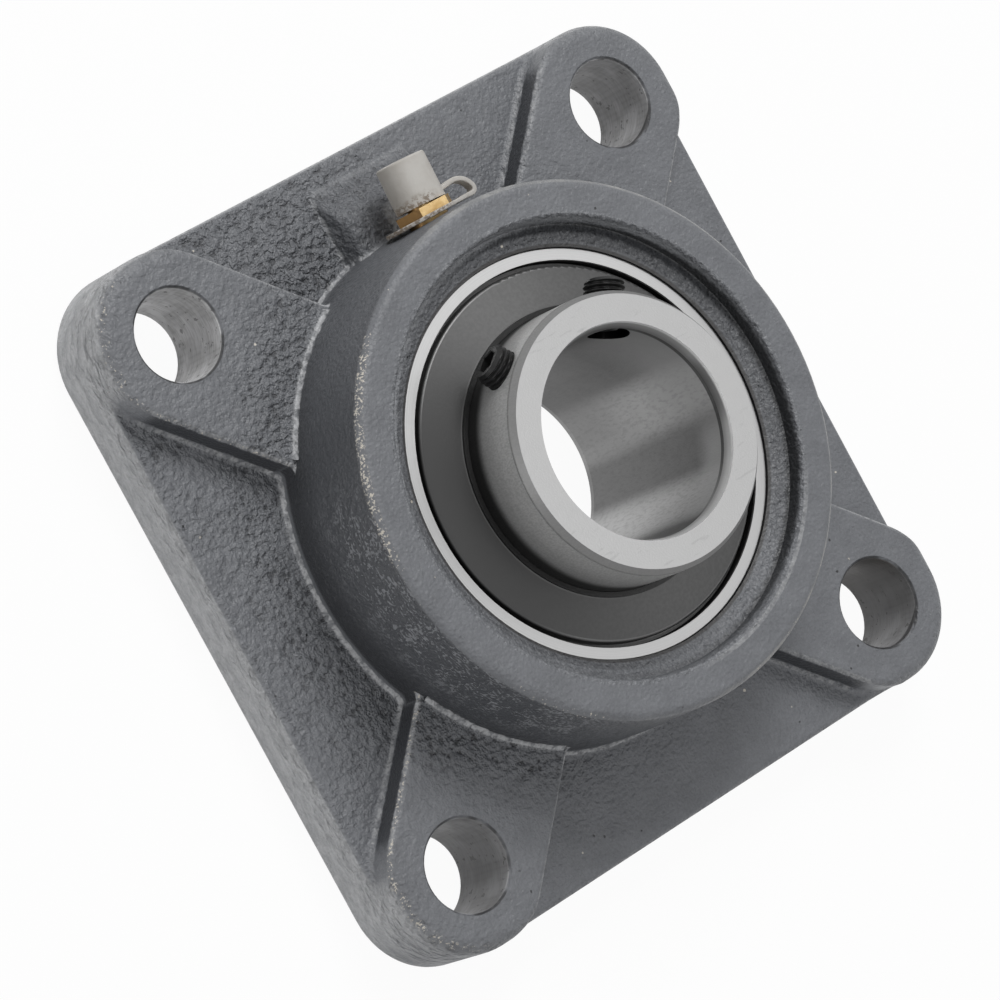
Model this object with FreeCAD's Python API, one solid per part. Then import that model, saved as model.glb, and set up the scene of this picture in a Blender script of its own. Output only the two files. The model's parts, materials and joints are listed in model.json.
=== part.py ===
import FreeCAD, Part
import math
import os

from FreeCAD import Rotation, Vector

# Square-flange bearing unit, in millimetres. The origin is the centre of the machined back
# face, +Z runs along the shaft axis to the front, and the grease nipple is on the +Y side.

# Bearing insert, from the shaft outwards
SHAFT_BORE = 30.0
INNER_RING_WALL = 5.15
INNER_RING_WIDTH = 38.1
INNER_RING_SHORT_SIDE = 15.9
INNER_GROOVE_DEPTH = 1.9125
BALL_DIAMETER = 9.525
BALL_COUNT = 9
GROOVE_CONFORMITY = 0.52
BALL_PLAY = 0.01
OUTER_GROOVE_DEPTH = 1.56
OUTER_RING_WALL = 3.2375
OUTER_RING_WIDTH = 18.0
OUTER_RING_FACE = 1.87
OUTER_RING_EDGE = 0.26
BORE_LEAD_IN = 0.5
BORE_LEAD_IN_LENGTH = 1.6
RING_EDGE = 0.7
RING_EDGE_LENGTH = 1.0

# Seals at both ends of the insert
SEAL_SEAT_DEPTH = 2.1
SEAL_FIT = 0.03
SHIELD_THICKNESS = 0.5
SHIELD_GAP = 0.7
SHIELD_RIM_DROP = 0.05
SHIELD_RISE = 1.2
SHIELD_BORE_GAP = 0.8
LIP_CLEARANCE = 0.05
LIP_WIDTH = 0.95
LIP_STANDOUT = 0.35
LIP_DEPTH = 1.6
LIP_NOTCH = 0.3

# Pressed ball cage
CAGE_SHEET = 0.7
CAGE_WIDTH = 3.4
CAGE_BALL_CLEARANCE = 0.12
CAGE_SPLIT = 0.01
RIVET_DIAMETER = 1.2
RIVET_HEAD_DIAMETER = 2.0
RIVET_HEAD_HEIGHT = 0.45

# Set screws in the long side of the inner ring
SCREW_DIAMETER = 6.0
SCREW_CLEARANCE = 0.05
SCREW_LENGTH = 7.0
SCREW_STANDOUT = 2.5
SCREW_FROM_FRONT = 5.0
SCREW_FIRST_AZIMUTH = 63.0
SCREW_ANGLE = 63.0
SCREW_COUNT = 2
SCREW_CHAMFER = 0.6
SCREW_CUP_DIAMETER = 3.0
SOCKET_FLATS = 3.0
SOCKET_DEPTH = 3.2

# Housing hub and its spherical seat
SEAT_CENTRE_HEIGHT = 18.0
SEAT_CLEARANCE = 0.03
SEAT_FRONT_MARGIN = 0.4
SEAT_BACK_MARGIN = 0.5
HUB_WALL = 8.3
HUB_TAPER = 0.6
HUB_RIM_ROUND = 1.4
HUB_BASE_FILLET = 1.1
RECESS_LAND = 5.7
RECESS_DRAFT = 0.35
RECESS_DEPTH = 2.6
RECESS_FLOOR_RISE = 1.0
RECESS_EDGE = 0.5
BACK_OPENING_STEP = 1.9
BACK_OPENING_DRAFT = 0.5
LOADING_SLOT_CLEARANCE = 0.4
LOADING_SLOT_DEPTH = 0.07

# Flange, bolt pads and pockets
BOLT_SPACING = 83.0
BOLT_HOLE = 13.3
BOLT_HOLE_EDGE = 0.4
CORNER_RADIUS = 12.2
PAD_WIDTH = 24.6
PLATE_THICKNESS = 9.0
PAD_RISE = 5.0
FLANGE_EDGE_ROUND = 2.2
BACK_EDGE_ROUND = 1.2
PAD_EDGE_ROUND = 0.9
POCKET_FLOOR_FILLET = 1.0
POCKET_CORNER_FILLET = 1.5

# Boss, passage and groove for the grease
NIPPLE_HEIGHT = 19.5
NIPPLE_SEAT_DEPTH = 0.6
NIPPLE_SEAT_DIAMETER = 13.6
NIPPLE_BOSS_WIDTH = 19.4
NIPPLE_BOSS_DRAFT = 2.0
NIPPLE_BOSS_DROP = 1.4
NIPPLE_BOSS_FLAT = 4.7
NIPPLE_BOSS_RAMP = 8.0
NIPPLE_BOSS_BREAK = 5.0
NIPPLE_BOSS_ROUND = 1.1
NIPPLE_BOSS_FILLET = 0.9
GREASE_PASSAGE = 2.5
GREASE_GROOVE_WIDTH = 3.0
GREASE_GROOVE_DEPTH = 0.8
GREASE_PORT = 2.0

# Grease nipple with its ball check
NIPPLE_SHANK_DIAMETER = 6.0
NIPPLE_SHANK_LENGTH = 5.2
NIPPLE_HEX_FLATS = 7.8
NIPPLE_HEX_HEIGHT = 1.3
NIPPLE_HEX_TURN = -10.5
NIPPLE_NECK_DIAMETER = 4.4
NIPPLE_NECK_LENGTH = 1.5
NIPPLE_HEAD_DIAMETER = 6.0
NIPPLE_HEAD_LENGTH = 3.4
NIPPLE_TIP_DIAMETER = 3.6
NIPPLE_MOUTH = 1.2
NIPPLE_CHANNEL = 2.6
CHECK_BALL_DIAMETER = 2.0
CHECK_CLEARANCE = 0.03
SPRING_WIRE = 0.3
SPRING_DIAMETER = 1.9
SPRING_TURNS = 5
SPRING_LENGTH = 4.6

# Plastic cap with its tether
CAP_DIAMETER = 7.56
CAP_DRAFT = 0.08
CAP_CLEARANCE = 0.2
CAP_LENGTH = 7.0
CAP_END_WALL = 1.2
CAP_EDGE_ROUND = 0.35
CAP_SEAT_GAP = 0.2
CAP_LEAN = 2.5
TETHER_RING_DIAMETER = 13.0
TETHER_RING_THICKNESS = 0.6
TETHER_RING_GAP = 0.5
TETHER_WIDTH = 1.8
TETHER_THICKNESS = 0.75
TETHER_BIG_RADIUS = 2.75
TETHER_SMALL_RADIUS = 0.75
TETHER_REACH = 6.3
TETHER_TOP_ANGLE = 98.0
TETHER_TURN_ANGLE = 18.0
TETHER_CAP_GAP = 0.2

# Sizes that follow from the values above
BORE_R = SHAFT_BORE / 2
INNER_R = BORE_R + INNER_RING_WALL
BALL_R = BALL_DIAMETER / 2
INNER_GROOVE_R = INNER_R - INNER_GROOVE_DEPTH
PITCH_R = INNER_GROOVE_R + BALL_R
OUTER_GROOVE_R = PITCH_R + BALL_R
SPHERE_R = OUTER_GROOVE_R + OUTER_RING_WALL
RACE_R = BALL_DIAMETER * GROOVE_CONFORMITY

RING_FRONT = SEAT_CENTRE_HEIGHT + OUTER_RING_WIDTH / 2
RING_BACK = SEAT_CENTRE_HEIGHT - OUTER_RING_WIDTH / 2
INNER_BACK = SEAT_CENTRE_HEIGHT - INNER_RING_SHORT_SIDE
INNER_FRONT = INNER_BACK + INNER_RING_WIDTH
RING_FACE_R = math.sqrt(SPHERE_R ** 2 - (OUTER_RING_WIDTH / 2) ** 2)
SEAL_SEAT_R = RING_FACE_R - OUTER_RING_FACE

PAD_HEIGHT = PLATE_THICKNESS + PAD_RISE
HALF_SPACING = BOLT_SPACING / 2
HALF_SIDE = HALF_SPACING + CORNER_RADIUS
SEAT_FRONT = RING_FRONT + SEAT_FRONT_MARGIN
SEAT_BACK = RING_BACK - SEAT_BACK_MARGIN
RECESS_FLOOR = SEAT_FRONT + RECESS_FLOOR_RISE
HOUSING_HEIGHT = RECESS_FLOOR + RECESS_DEPTH
HUB_R = SPHERE_R + HUB_WALL
HUB_TOP_R = HUB_R - HUB_TAPER
SEAT_R = SPHERE_R + SEAT_CLEARANCE
RECESS_R = HUB_TOP_R - RECESS_LAND
NIPPLE_SEAT_Y = HUB_R - NIPPLE_SEAT_DEPTH
HEX_BASE_Y = NIPPLE_SEAT_Y + TETHER_RING_GAP + TETHER_RING_THICKNESS
HEX_TOP_Y = HEX_BASE_Y + NIPPLE_HEX_HEIGHT
HEAD_TOP_Y = HEX_TOP_Y + NIPPLE_NECK_LENGTH + NIPPLE_HEAD_LENGTH

UP = Vector(0, 0, 1)
OUT = Vector(0, 1, 0)
CENTRE = Vector(0, 0, 0)
SEAT_CENTRE = Vector(0, 0, SEAT_CENTRE_HEIGHT)


def outline(start, *steps):
    """Closed face in the XZ plane: a step is one point for a line, or two for an arc."""
    edges = []
    here = Vector(start[0], 0, start[1])
    first = here
    for step in steps:
        if isinstance(step[0], tuple):
            middle, end = [Vector(x, 0, z) for x, z in step]
            edges.append(Part.Arc(here, middle, end).toShape())
        else:
            end = Vector(step[0], 0, step[1])
            edges.append(Part.LineSegment(here, end).toShape())
        here = end
    if here.distanceToPoint(first) > 1e-6:
        edges.append(Part.LineSegment(here, first).toShape())
    return Part.Face(Part.Wire(edges))


def turned(start, *steps):
    """Solid of revolution about Z from an outline of radius and height."""
    return outline(start, *steps).revolve(CENTRE, UP, 360)


def turned_about_nipple(start, *steps):
    """Solid of revolution about the nipple's axis from an outline of radius and distance."""
    solid = turned(start, *steps)
    solid.rotate(CENTRE, Vector(1, 0, 0), -90)
    solid.translate(Vector(0, 0, NIPPLE_HEIGHT))
    return solid


def rotated(shape, degrees, centre=CENTRE, axis=UP):
    """Copy of a shape turned about an axis."""
    copy = shape.copy()
    copy.rotate(centre, axis, degrees)
    return copy


def mirrored_front_to_back(shape):
    """The same piece at the other end of the insert."""
    return shape.mirror(SEAT_CENTRE, UP)


def rounded(shape, radius, is_chosen):
    """Fillet the edges that the test picks."""
    return shape.makeFillet(radius, [edge for edge in shape.Edges if is_chosen(edge)])


def level(edge, height):
    """Whether an edge lies flat at a height."""
    box = edge.BoundBox
    return abs(box.ZMin - height) < 1e-4 and abs(box.ZMax - height) < 1e-4


def upright(edge):
    """Whether an edge stands along Z."""
    box = edge.BoundBox
    return box.XLength < 1e-4 and box.YLength < 1e-4


def hexagon(flats, height):
    """Hexagonal prism on the XY plane, with two flats square to Y."""
    corner = flats / math.sqrt(3)
    points = []
    for k in range(7):
        angle = math.radians(60 * k)
        points.append(Vector(corner * math.cos(angle), corner * math.sin(angle), 0))
    return Part.Face(Part.makePolygon(points)).extrude(UP * height)


def sphere_arc(radius, low, high):
    """Middle and end of an arc about the seat centre, from one height to another."""
    z_end = high - SEAT_CENTRE_HEIGHT
    z_start = low - SEAT_CENTRE_HEIGHT
    angle = (math.asin(z_start / radius) + math.asin(z_end / radius)) / 2
    middle = (radius * math.cos(angle), SEAT_CENTRE_HEIGHT + radius * math.sin(angle))
    return middle, (math.sqrt(radius ** 2 - z_end ** 2), high)


def corner_arc(centre, radius, first, last):
    """Middle and end of an arc about a point, between two angles in degrees."""
    angles = [math.radians(a) for a in ((first + last) / 2, last)]
    return tuple((centre[0] + radius * math.cos(a), centre[1] + radius * math.sin(a)) for a in angles)


def rounded_square():
    """Flange outline, with corners struck from the bolt holes."""
    diagonal = HALF_SPACING + CORNER_RADIUS * math.sqrt(0.5)
    edges = []
    for k in range(4):
        turn = Rotation(UP, 90 * k)
        a = turn.multVec(Vector(HALF_SIDE, -HALF_SPACING, 0))
        b = turn.multVec(Vector(HALF_SIDE, HALF_SPACING, 0))
        c = turn.multVec(Vector(diagonal, diagonal, 0))
        d = turn.multVec(Vector(HALF_SPACING, HALF_SIDE, 0))
        edges.append(Part.LineSegment(a, b).toShape())
        edges.append(Part.Arc(b, c, d).toShape())
    return Part.Face(Part.Wire(edges))


def pad_end():
    """Start, middle and end of the arc about a bolt hole that ends a pad's flank."""
    bolt = Vector(HALF_SPACING, HALF_SPACING, 0)
    reach = Vector(PAD_WIDTH / 2, 0, 0)
    return [bolt + Rotation(UP, angle).multVec(reach) for angle in (-45, -22.5, 0)]


def pocket():
    """What is cast away between two pads on the +X side, open outwards and upwards."""
    half = PAD_WIDTH / 2
    along = math.sqrt(HUB_R ** 2 - half ** 2)
    inner = Vector(along + half, along - half, 0) * math.sqrt(0.5)
    flank_end, bend, side_end = pad_end()
    outer = Vector(2 * HALF_SIDE, side_end.y, 0)
    flank = [
        Part.LineSegment(inner, flank_end).toShape(),
        Part.Arc(flank_end, bend, side_end).toShape(),
        Part.LineSegment(side_end, outer).toShape(),
    ]
    low_flank = [edge.mirror(CENTRE, OUT) for edge in reversed(flank)]
    low_inner = Vector(inner.x, -inner.y, 0)
    low_outer = Vector(outer.x, -outer.y, 0)
    hub_side = Part.Arc(low_inner, Vector(HUB_R, 0, 0), inner).toShape()
    open_side = Part.LineSegment(outer, low_outer).toShape()
    face = Part.Face(Part.Wire([hub_side] + flank + [open_side] + low_flank))
    face.translate(UP * PLATE_THICKNESS)
    solid = face.extrude(UP * (PAD_RISE + 2 * HUB_BASE_FILLET))
    solid = rounded(solid, POCKET_CORNER_FILLET,
                    lambda e: upright(e) and e.BoundBox.XMax < inner.x + 1)
    return rounded(solid, POCKET_FLOOR_FILLET,
                   lambda e: level(e, PLATE_THICKNESS) and e.BoundBox.XMax < outer.x - 1)


def on_flange_side(edge):
    """Whether an edge lies in one of the four side faces."""
    box = edge.BoundBox
    limits = ((box.XMin, box.XMax), (box.YMin, box.YMax))
    return any(abs(abs(a) - HALF_SIDE) < 1e-4 and abs(a - b) < 1e-4 for a, b in limits)


def oblique(edge):
    """Whether an edge is straight and runs across both X and Y."""
    box = edge.BoundBox
    return edge.Curve.TypeId == "Part::GeomLine" and box.XLength > 1 and box.YLength > 1


def flange():
    """Plate with four diagonal pads, every edge rounded as cast."""
    block = rounded_square().extrude(UP * PAD_HEIGHT)
    block = rounded(block, FLANGE_EDGE_ROUND, lambda e: level(e, PAD_HEIGHT))
    block = rounded(block, BACK_EDGE_ROUND, lambda e: level(e, 0))
    for k in range(4):
        block = block.cut(rotated(pocket(), 90 * k))
    return rounded(block, PAD_EDGE_ROUND,
                   lambda e: (level(e, PAD_HEIGHT) and oblique(e))
                   or (level(e, PLATE_THICKNESS) and on_flange_side(e)))


def hub():
    """Slightly tapered hub with a rounded rim."""
    rim_arc = corner_arc((HUB_TOP_R - HUB_RIM_ROUND, HOUSING_HEIGHT - HUB_RIM_ROUND),
                         HUB_RIM_ROUND, 0, 90)
    return turned((0, PLATE_THICKNESS / 2),
                  (HUB_R, PLATE_THICKNESS / 2),
                  (HUB_R, PAD_HEIGHT + HUB_BASE_FILLET),
                  (HUB_TOP_R, HOUSING_HEIGHT - HUB_RIM_ROUND),
                  rim_arc,
                  (0, HOUSING_HEIGHT))


def hub_base_fillet():
    """Fillet between the hub and the flat tops of the pads."""
    outer = HUB_R + HUB_BASE_FILLET
    top = PAD_HEIGHT + HUB_BASE_FILLET
    hollow = corner_arc((outer, top), HUB_BASE_FILLET, 270, 180)
    ring = turned((HUB_R - 1, PAD_HEIGHT - 1), (outer, PAD_HEIGHT - 1), (outer, PAD_HEIGHT),
                  hollow, (HUB_R - 1, top))
    flat = PAD_WIDTH - 2 * PAD_EDGE_ROUND
    strip = Part.makeBox(4 * HUB_R, flat, 2 * PAD_HEIGHT, Vector(-2 * HUB_R, -flat / 2, 0))
    return ring.common(rotated(strip, 45).fuse(rotated(strip, -45)))


def nipple_boss():
    """Raised land under the grease nipple, rounded over into a ramp down outwards."""
    top = PAD_HEIGHT - NIPPLE_BOSS_DROP
    inner = HUB_R - NIPPLE_BOSS_FLAT
    flat_end = HUB_R + NIPPLE_BOSS_FLAT
    foot = PLATE_THICKNESS - NIPPLE_BOSS_FILLET
    half = NIPPLE_BOSS_WIDTH / 2
    points = [Vector(-half, y, z) for y, z in (
        (inner, foot), (inner, top), (flat_end, top), (flat_end + NIPPLE_BOSS_RAMP, foot), (inner, foot))]
    solid = Part.Face(Part.makePolygon(points)).extrude(Vector(NIPPLE_BOSS_WIDTH, 0, 0))
    section = outline((-half, foot), (half, foot), (half - NIPPLE_BOSS_DRAFT, top),
                      (NIPPLE_BOSS_DRAFT - half, top))
    solid = solid.common(section.extrude(OUT * 2 * HUB_R))
    solid = rounded(solid, NIPPLE_BOSS_BREAK,
                    lambda e: level(e, top) and e.BoundBox.YMin > flat_end - 1e-4)
    return rounded(solid, NIPPLE_BOSS_ROUND,
                   lambda e: e.BoundBox.XLength < NIPPLE_BOSS_DRAFT + 1e-4 and e.BoundBox.YMax > inner + 1
                   and e.BoundBox.ZMax > foot + 1e-4)


def along_boss_foot(edge):
    """Whether an edge lies where the nipple boss meets the pocket floor."""
    box = edge.BoundBox
    half = NIPPLE_BOSS_WIDTH / 2 + 1e-4
    return level(edge, PLATE_THICKNESS) and box.XMin > -half and box.XMax < half


def seat_cavity():
    """Cored opening at the back, spherical seat and the recess in front of it."""
    back_r = math.sqrt(SEAT_R ** 2 - (SEAT_BACK - SEAT_CENTRE_HEIGHT) ** 2)
    mouth = HOUSING_HEIGHT - RECESS_EDGE
    mouth_arc = corner_arc((RECESS_R + RECESS_EDGE, mouth), RECESS_EDGE, 180, 90)
    return turned((0, -1),
                  (back_r + BACK_OPENING_STEP + BACK_OPENING_DRAFT, -1),
                  (back_r + BACK_OPENING_STEP, SEAT_BACK),
                  (back_r, SEAT_BACK),
                  sphere_arc(SEAT_R, SEAT_BACK, SEAT_FRONT),
                  (RECESS_R - RECESS_DRAFT, RECESS_FLOOR),
                  (RECESS_R, mouth),
                  mouth_arc,
                  (RECESS_R + RECESS_EDGE, HOUSING_HEIGHT + 1),
                  (0, HOUSING_HEIGHT + 1))


def loading_slots():
    """The two slots through which the insert goes in sideways before it is turned square."""
    width = OUTER_RING_WIDTH + LOADING_SLOT_CLEARANCE
    core = Part.makeCylinder(SEAT_R + LOADING_SLOT_DEPTH, SEAT_CENTRE_HEIGHT + 1, Vector(0, 0, -1))
    bar = Part.makeBox(4 * SEAT_R, width, 2 * HOUSING_HEIGHT, Vector(-2 * SEAT_R, -width / 2, -HOUSING_HEIGHT))
    return core.common(bar)


def grease_way():
    """Spot face, tapped hole, passage and ring groove that carry grease to the insert."""
    hole_end = NIPPLE_SEAT_Y - NIPPLE_SHANK_LENGTH
    spot = turned_about_nipple((0, NIPPLE_SEAT_Y), (NIPPLE_SEAT_DIAMETER / 2, NIPPLE_SEAT_Y),
                               (NIPPLE_SEAT_DIAMETER / 2, 2 * HUB_R), (0, 2 * HUB_R))
    tapped = turned_about_nipple((0, hole_end), (NIPPLE_SHANK_DIAMETER / 2, hole_end),
                                 (NIPPLE_SHANK_DIAMETER / 2, HUB_R), (0, HUB_R))
    passage = turned_about_nipple((0, BORE_R), (GREASE_PASSAGE / 2, BORE_R),
                                  (GREASE_PASSAGE / 2, HUB_R - 1), (0, HUB_R - 1))
    low = NIPPLE_HEIGHT - GREASE_GROOVE_WIDTH / 2
    high = NIPPLE_HEIGHT + GREASE_GROOVE_WIDTH / 2
    groove_r = SEAT_R + GREASE_GROOVE_DEPTH
    groove = turned((INNER_R, low), (groove_r, low), (groove_r, high), (INNER_R, high))
    return [spot, tapped, passage, groove]


def bolt_holes():
    """Four through holes with a broken edge at both faces."""
    r = BOLT_HOLE / 2
    wide = r + BOLT_HOLE_EDGE + 1
    hole = turned((0, -1), (wide, -1), (r, BOLT_HOLE_EDGE), (r, PAD_HEIGHT - BOLT_HOLE_EDGE),
                  (wide, PAD_HEIGHT + 1), (0, PAD_HEIGHT + 1))
    hole.translate(Vector(HALF_SPACING, HALF_SPACING, 0))
    return [rotated(hole, 90 * k) for k in range(4)]


def housing():
    """The cast housing, one piece."""
    body = rounded(flange().fuse(nipple_boss()), NIPPLE_BOSS_FILLET, along_boss_foot)
    body = body.fuse(hub())
    body = body.fuse(hub_base_fillet())
    body = body.cut(seat_cavity())
    for tool in [loading_slots()] + grease_way() + bolt_holes():
        body = body.cut(tool)
    return body.removeSplitter()


def outer_ring():
    """Ring with a spherical outside, a ball groove, seal seats and a grease port."""
    groove_centre = OUTER_GROOVE_R + BALL_PLAY - RACE_R
    shoulder = OUTER_GROOVE_R - OUTER_GROOVE_DEPTH
    half_groove = math.sqrt(RACE_R ** 2 - (shoulder - groove_centre) ** 2)
    edge_r = RING_FACE_R - OUTER_RING_EDGE
    edge_z = OUTER_RING_EDGE
    outer = sphere_arc(SPHERE_R, RING_BACK + edge_z, RING_FRONT - edge_z)
    start_r = outer[1][0]
    ring = turned((edge_r, RING_BACK),
                  (start_r, RING_BACK + edge_z),
                  outer,
                  (edge_r, RING_FRONT),
                  (SEAL_SEAT_R, RING_FRONT),
                  (SEAL_SEAT_R, RING_FRONT - SEAL_SEAT_DEPTH),
                  (shoulder, RING_FRONT - SEAL_SEAT_DEPTH),
                  (shoulder, SEAT_CENTRE_HEIGHT + half_groove),
                  ((OUTER_GROOVE_R + BALL_PLAY, SEAT_CENTRE_HEIGHT),
                   (shoulder, SEAT_CENTRE_HEIGHT - half_groove)),
                  (shoulder, RING_BACK + SEAL_SEAT_DEPTH),
                  (SEAL_SEAT_R, RING_BACK + SEAL_SEAT_DEPTH),
                  (SEAL_SEAT_R, RING_BACK))
    port = Part.makeCylinder(GREASE_PORT / 2, SPHERE_R, Vector(0, PITCH_R, NIPPLE_HEIGHT), OUT)
    return ring.cut(port)


def screw_azimuths():
    """Directions of the set screws round the shaft."""
    return [SCREW_FIRST_AZIMUTH + SCREW_ANGLE * k for k in range(SCREW_COUNT)]


def inner_ring():
    """Wide ring with the shaft bore, a ball groove and the set screw holes."""
    groove_centre = INNER_GROOVE_R - BALL_PLAY + RACE_R
    half_groove = math.sqrt(RACE_R ** 2 - (groove_centre - INNER_R) ** 2)
    ring = turned((BORE_R + BORE_LEAD_IN, INNER_BACK),
                  (INNER_R - RING_EDGE, INNER_BACK),
                  (INNER_R, INNER_BACK + RING_EDGE_LENGTH),
                  (INNER_R, SEAT_CENTRE_HEIGHT - half_groove),
                  ((INNER_GROOVE_R - BALL_PLAY, SEAT_CENTRE_HEIGHT),
                   (INNER_R, SEAT_CENTRE_HEIGHT + half_groove)),
                  (INNER_R, INNER_FRONT - RING_EDGE_LENGTH),
                  (INNER_R - RING_EDGE, INNER_FRONT),
                  (BORE_R + BORE_LEAD_IN, INNER_FRONT),
                  (BORE_R, INNER_FRONT - BORE_LEAD_IN_LENGTH),
                  (BORE_R, INNER_BACK + BORE_LEAD_IN_LENGTH))
    hole = Part.makeCylinder(SCREW_DIAMETER / 2, 2 * INNER_RING_WALL,
                             Vector(BORE_R - INNER_RING_WALL / 2, 0, INNER_FRONT - SCREW_FROM_FRONT),
                             Vector(1, 0, 0))
    for azimuth in screw_azimuths():
        ring = ring.cut(rotated(hole, azimuth))
    return ring


def ball(index):
    """One bearing ball on the pitch circle."""
    solid = Part.makeSphere(BALL_R, Vector(PITCH_R, 0, SEAT_CENTRE_HEIGHT))
    return rotated(solid, index * 360 / BALL_COUNT)


def cage_half():
    """Front half of the pressed cage: flat lands joined by round ball pockets."""
    low = SEAT_CENTRE_HEIGHT + CAGE_SPLIT
    inside_r = BALL_R + CAGE_BALL_CLEARANCE
    outside_r = inside_r + CAGE_SHEET
    inner = PITCH_R - CAGE_WIDTH / 2
    outer = PITCH_R + CAGE_WIDTH / 2
    sleeve = turned((inner, low), (outer, low), (outer, low + outside_r), (inner, low + outside_r))
    half = turned((inner, low), (outer, low), (outer, low + CAGE_SHEET), (inner, low + CAGE_SHEET))
    place = Vector(PITCH_R, 0, SEAT_CENTRE_HEIGHT)
    cups = [rotated(Part.makeSphere(outside_r, place), k * 360 / BALL_COUNT) for k in range(BALL_COUNT)]
    spaces = [rotated(Part.makeSphere(inside_r, place), k * 360 / BALL_COUNT) for k in range(BALL_COUNT)]
    half = half.fuse(sleeve.common(cups[0].multiFuse(cups[1:])))
    half = half.cut(spaces)
    holes = [rivet_at(k, RIVET_DIAMETER / 2, outside_r) for k in range(BALL_COUNT)]
    return half.cut(holes).removeSplitter()


def rivet_at(index, radius, half_height):
    """Cylinder through the cage between two balls."""
    rod = Part.makeCylinder(radius, 2 * half_height, Vector(PITCH_R, 0, SEAT_CENTRE_HEIGHT - half_height))
    return rotated(rod, (index + 0.5) * 360 / BALL_COUNT)


def cage_rivets():
    """Rivets that close the cage, one between each pair of balls."""
    grip = CAGE_SPLIT + CAGE_SHEET
    rivets = []
    for k in range(BALL_COUNT):
        shank = rivet_at(k, RIVET_DIAMETER / 2, grip)
        heads = rivet_at(k, RIVET_HEAD_DIAMETER / 2, grip + RIVET_HEAD_HEIGHT)
        heads = heads.cut(rivet_at(k, RIVET_HEAD_DIAMETER, grip))
        rivets.append(shank.fuse(heads).removeSplitter())
    return Part.makeCompound(rivets)


def shield_line():
    """Shield corners that the seal lip also follows: inner edge, top and underside."""
    inner = INNER_R + SHIELD_BORE_GAP
    top = RING_FRONT - SHIELD_RIM_DROP + SHIELD_RISE
    return inner, top


def seal_shield():
    """Front pressed-steel shield: a rim in the outer ring's seat and a dished web."""
    inner, top = shield_line()
    seat = RING_FRONT - SEAL_SEAT_DEPTH
    rim = RING_FRONT - SHIELD_RIM_DROP
    t = SHIELD_THICKNESS
    foot_r = SEAL_SEAT_R - SEAL_FIT
    wall_r = SEAL_SEAT_R - SHIELD_GAP
    bend = corner_arc((wall_r - t, rim - t), t, 0, 90)
    return turned((foot_r, seat),
                  (foot_r, seat + t),
                  (wall_r, seat + t),
                  (wall_r, rim - t),
                  bend,
                  (inner, top),
                  (inner, top - t),
                  (wall_r - t, rim - t),
                  (wall_r - t, seat))


def seal_lip():
    """Front rubber lip, bonded to the shield's inner edge and running on the inner ring."""
    inner, top = shield_line()
    rim = RING_FRONT - SHIELD_RIM_DROP
    t = SHIELD_THICKNESS
    contact = INNER_R + LIP_CLEARANCE
    outer = inner + LIP_WIDTH
    web_start = SEAL_SEAT_R - SHIELD_GAP - t
    slope = (top - rim) / (web_start - inner)
    under = top - t - slope * (outer - inner)
    low = top - t - LIP_DEPTH
    middle = (top + low) / 2
    return turned((inner, top),
                  (inner, top + LIP_STANDOUT),
                  (contact, top + LIP_STANDOUT),
                  (contact, middle + LIP_NOTCH),
                  (contact + LIP_NOTCH, middle),
                  (contact, middle - LIP_NOTCH),
                  (contact, low),
                  (contact + LIP_NOTCH, low),
                  (outer, under - t),
                  (outer, under),
                  (inner, top - t))


def set_screw(azimuth):
    """Socket set screw with a cup point, standing proud of the inner ring."""
    r = SCREW_DIAMETER / 2 - SCREW_CLEARANCE
    head = INNER_R + SCREW_STANDOUT
    tip = head - SCREW_LENGTH
    cup_r = SCREW_CUP_DIAMETER / 2
    body = turned((0, tip + cup_r / 2),
                  (cup_r, tip),
                  (r, tip + r - cup_r),
                  (r, head - SCREW_CHAMFER),
                  (r - SCREW_CHAMFER, head),
                  (0, head))
    socket = hexagon(SOCKET_FLATS, SOCKET_DEPTH)
    socket.translate(UP * (head - SOCKET_DEPTH))
    body = body.cut(socket)
    body.rotate(CENTRE, OUT, 90)
    body.translate(UP * (INNER_FRONT - SCREW_FROM_FRONT))
    return rotated(body, azimuth)


def nipple_body():
    """Brass grease nipple: tapped shank, hexagon, neck and coupling head, bored through."""
    shank_r = NIPPLE_SHANK_DIAMETER / 2
    neck_r = NIPPLE_NECK_DIAMETER / 2
    head_r = NIPPLE_HEAD_DIAMETER / 2
    tip_r = NIPPLE_TIP_DIAMETER / 2
    neck_top = HEX_TOP_Y + NIPPLE_NECK_LENGTH
    flare = head_r - neck_r
    shank_end = NIPPLE_SEAT_Y - NIPPLE_SHANK_LENGTH
    core = turned_about_nipple((0, shank_end),
                               (shank_r, shank_end),
                               (shank_r, HEX_BASE_Y + NIPPLE_HEX_HEIGHT / 2),
                               (neck_r, HEX_TOP_Y - NIPPLE_HEX_HEIGHT / 4),
                               (neck_r, neck_top),
                               (head_r, neck_top + flare),
                               (head_r, neck_top + 2 * flare),
                               (tip_r, HEAD_TOP_Y),
                               (0, HEAD_TOP_Y))
    nut = hexagon(NIPPLE_HEX_FLATS, NIPPLE_HEX_HEIGHT)
    nut.rotate(CENTRE, UP, NIPPLE_HEX_TURN)
    nut.translate(UP * HEX_BASE_Y)
    nut.rotate(CENTRE, Vector(1, 0, 0), -90)
    nut.translate(UP * NIPPLE_HEIGHT)
    return core.fuse(nut).cut(nipple_channel()).removeSplitter()


def check_ball_y():
    """Distance of the check ball's centre when it closes the mouth."""
    ball_r = CHECK_BALL_DIAMETER / 2
    mouth_r = NIPPLE_MOUTH / 2
    return HEAD_TOP_Y - ball_r - (ball_r - math.sqrt(ball_r ** 2 - mouth_r ** 2)) + CHECK_CLEARANCE


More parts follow.
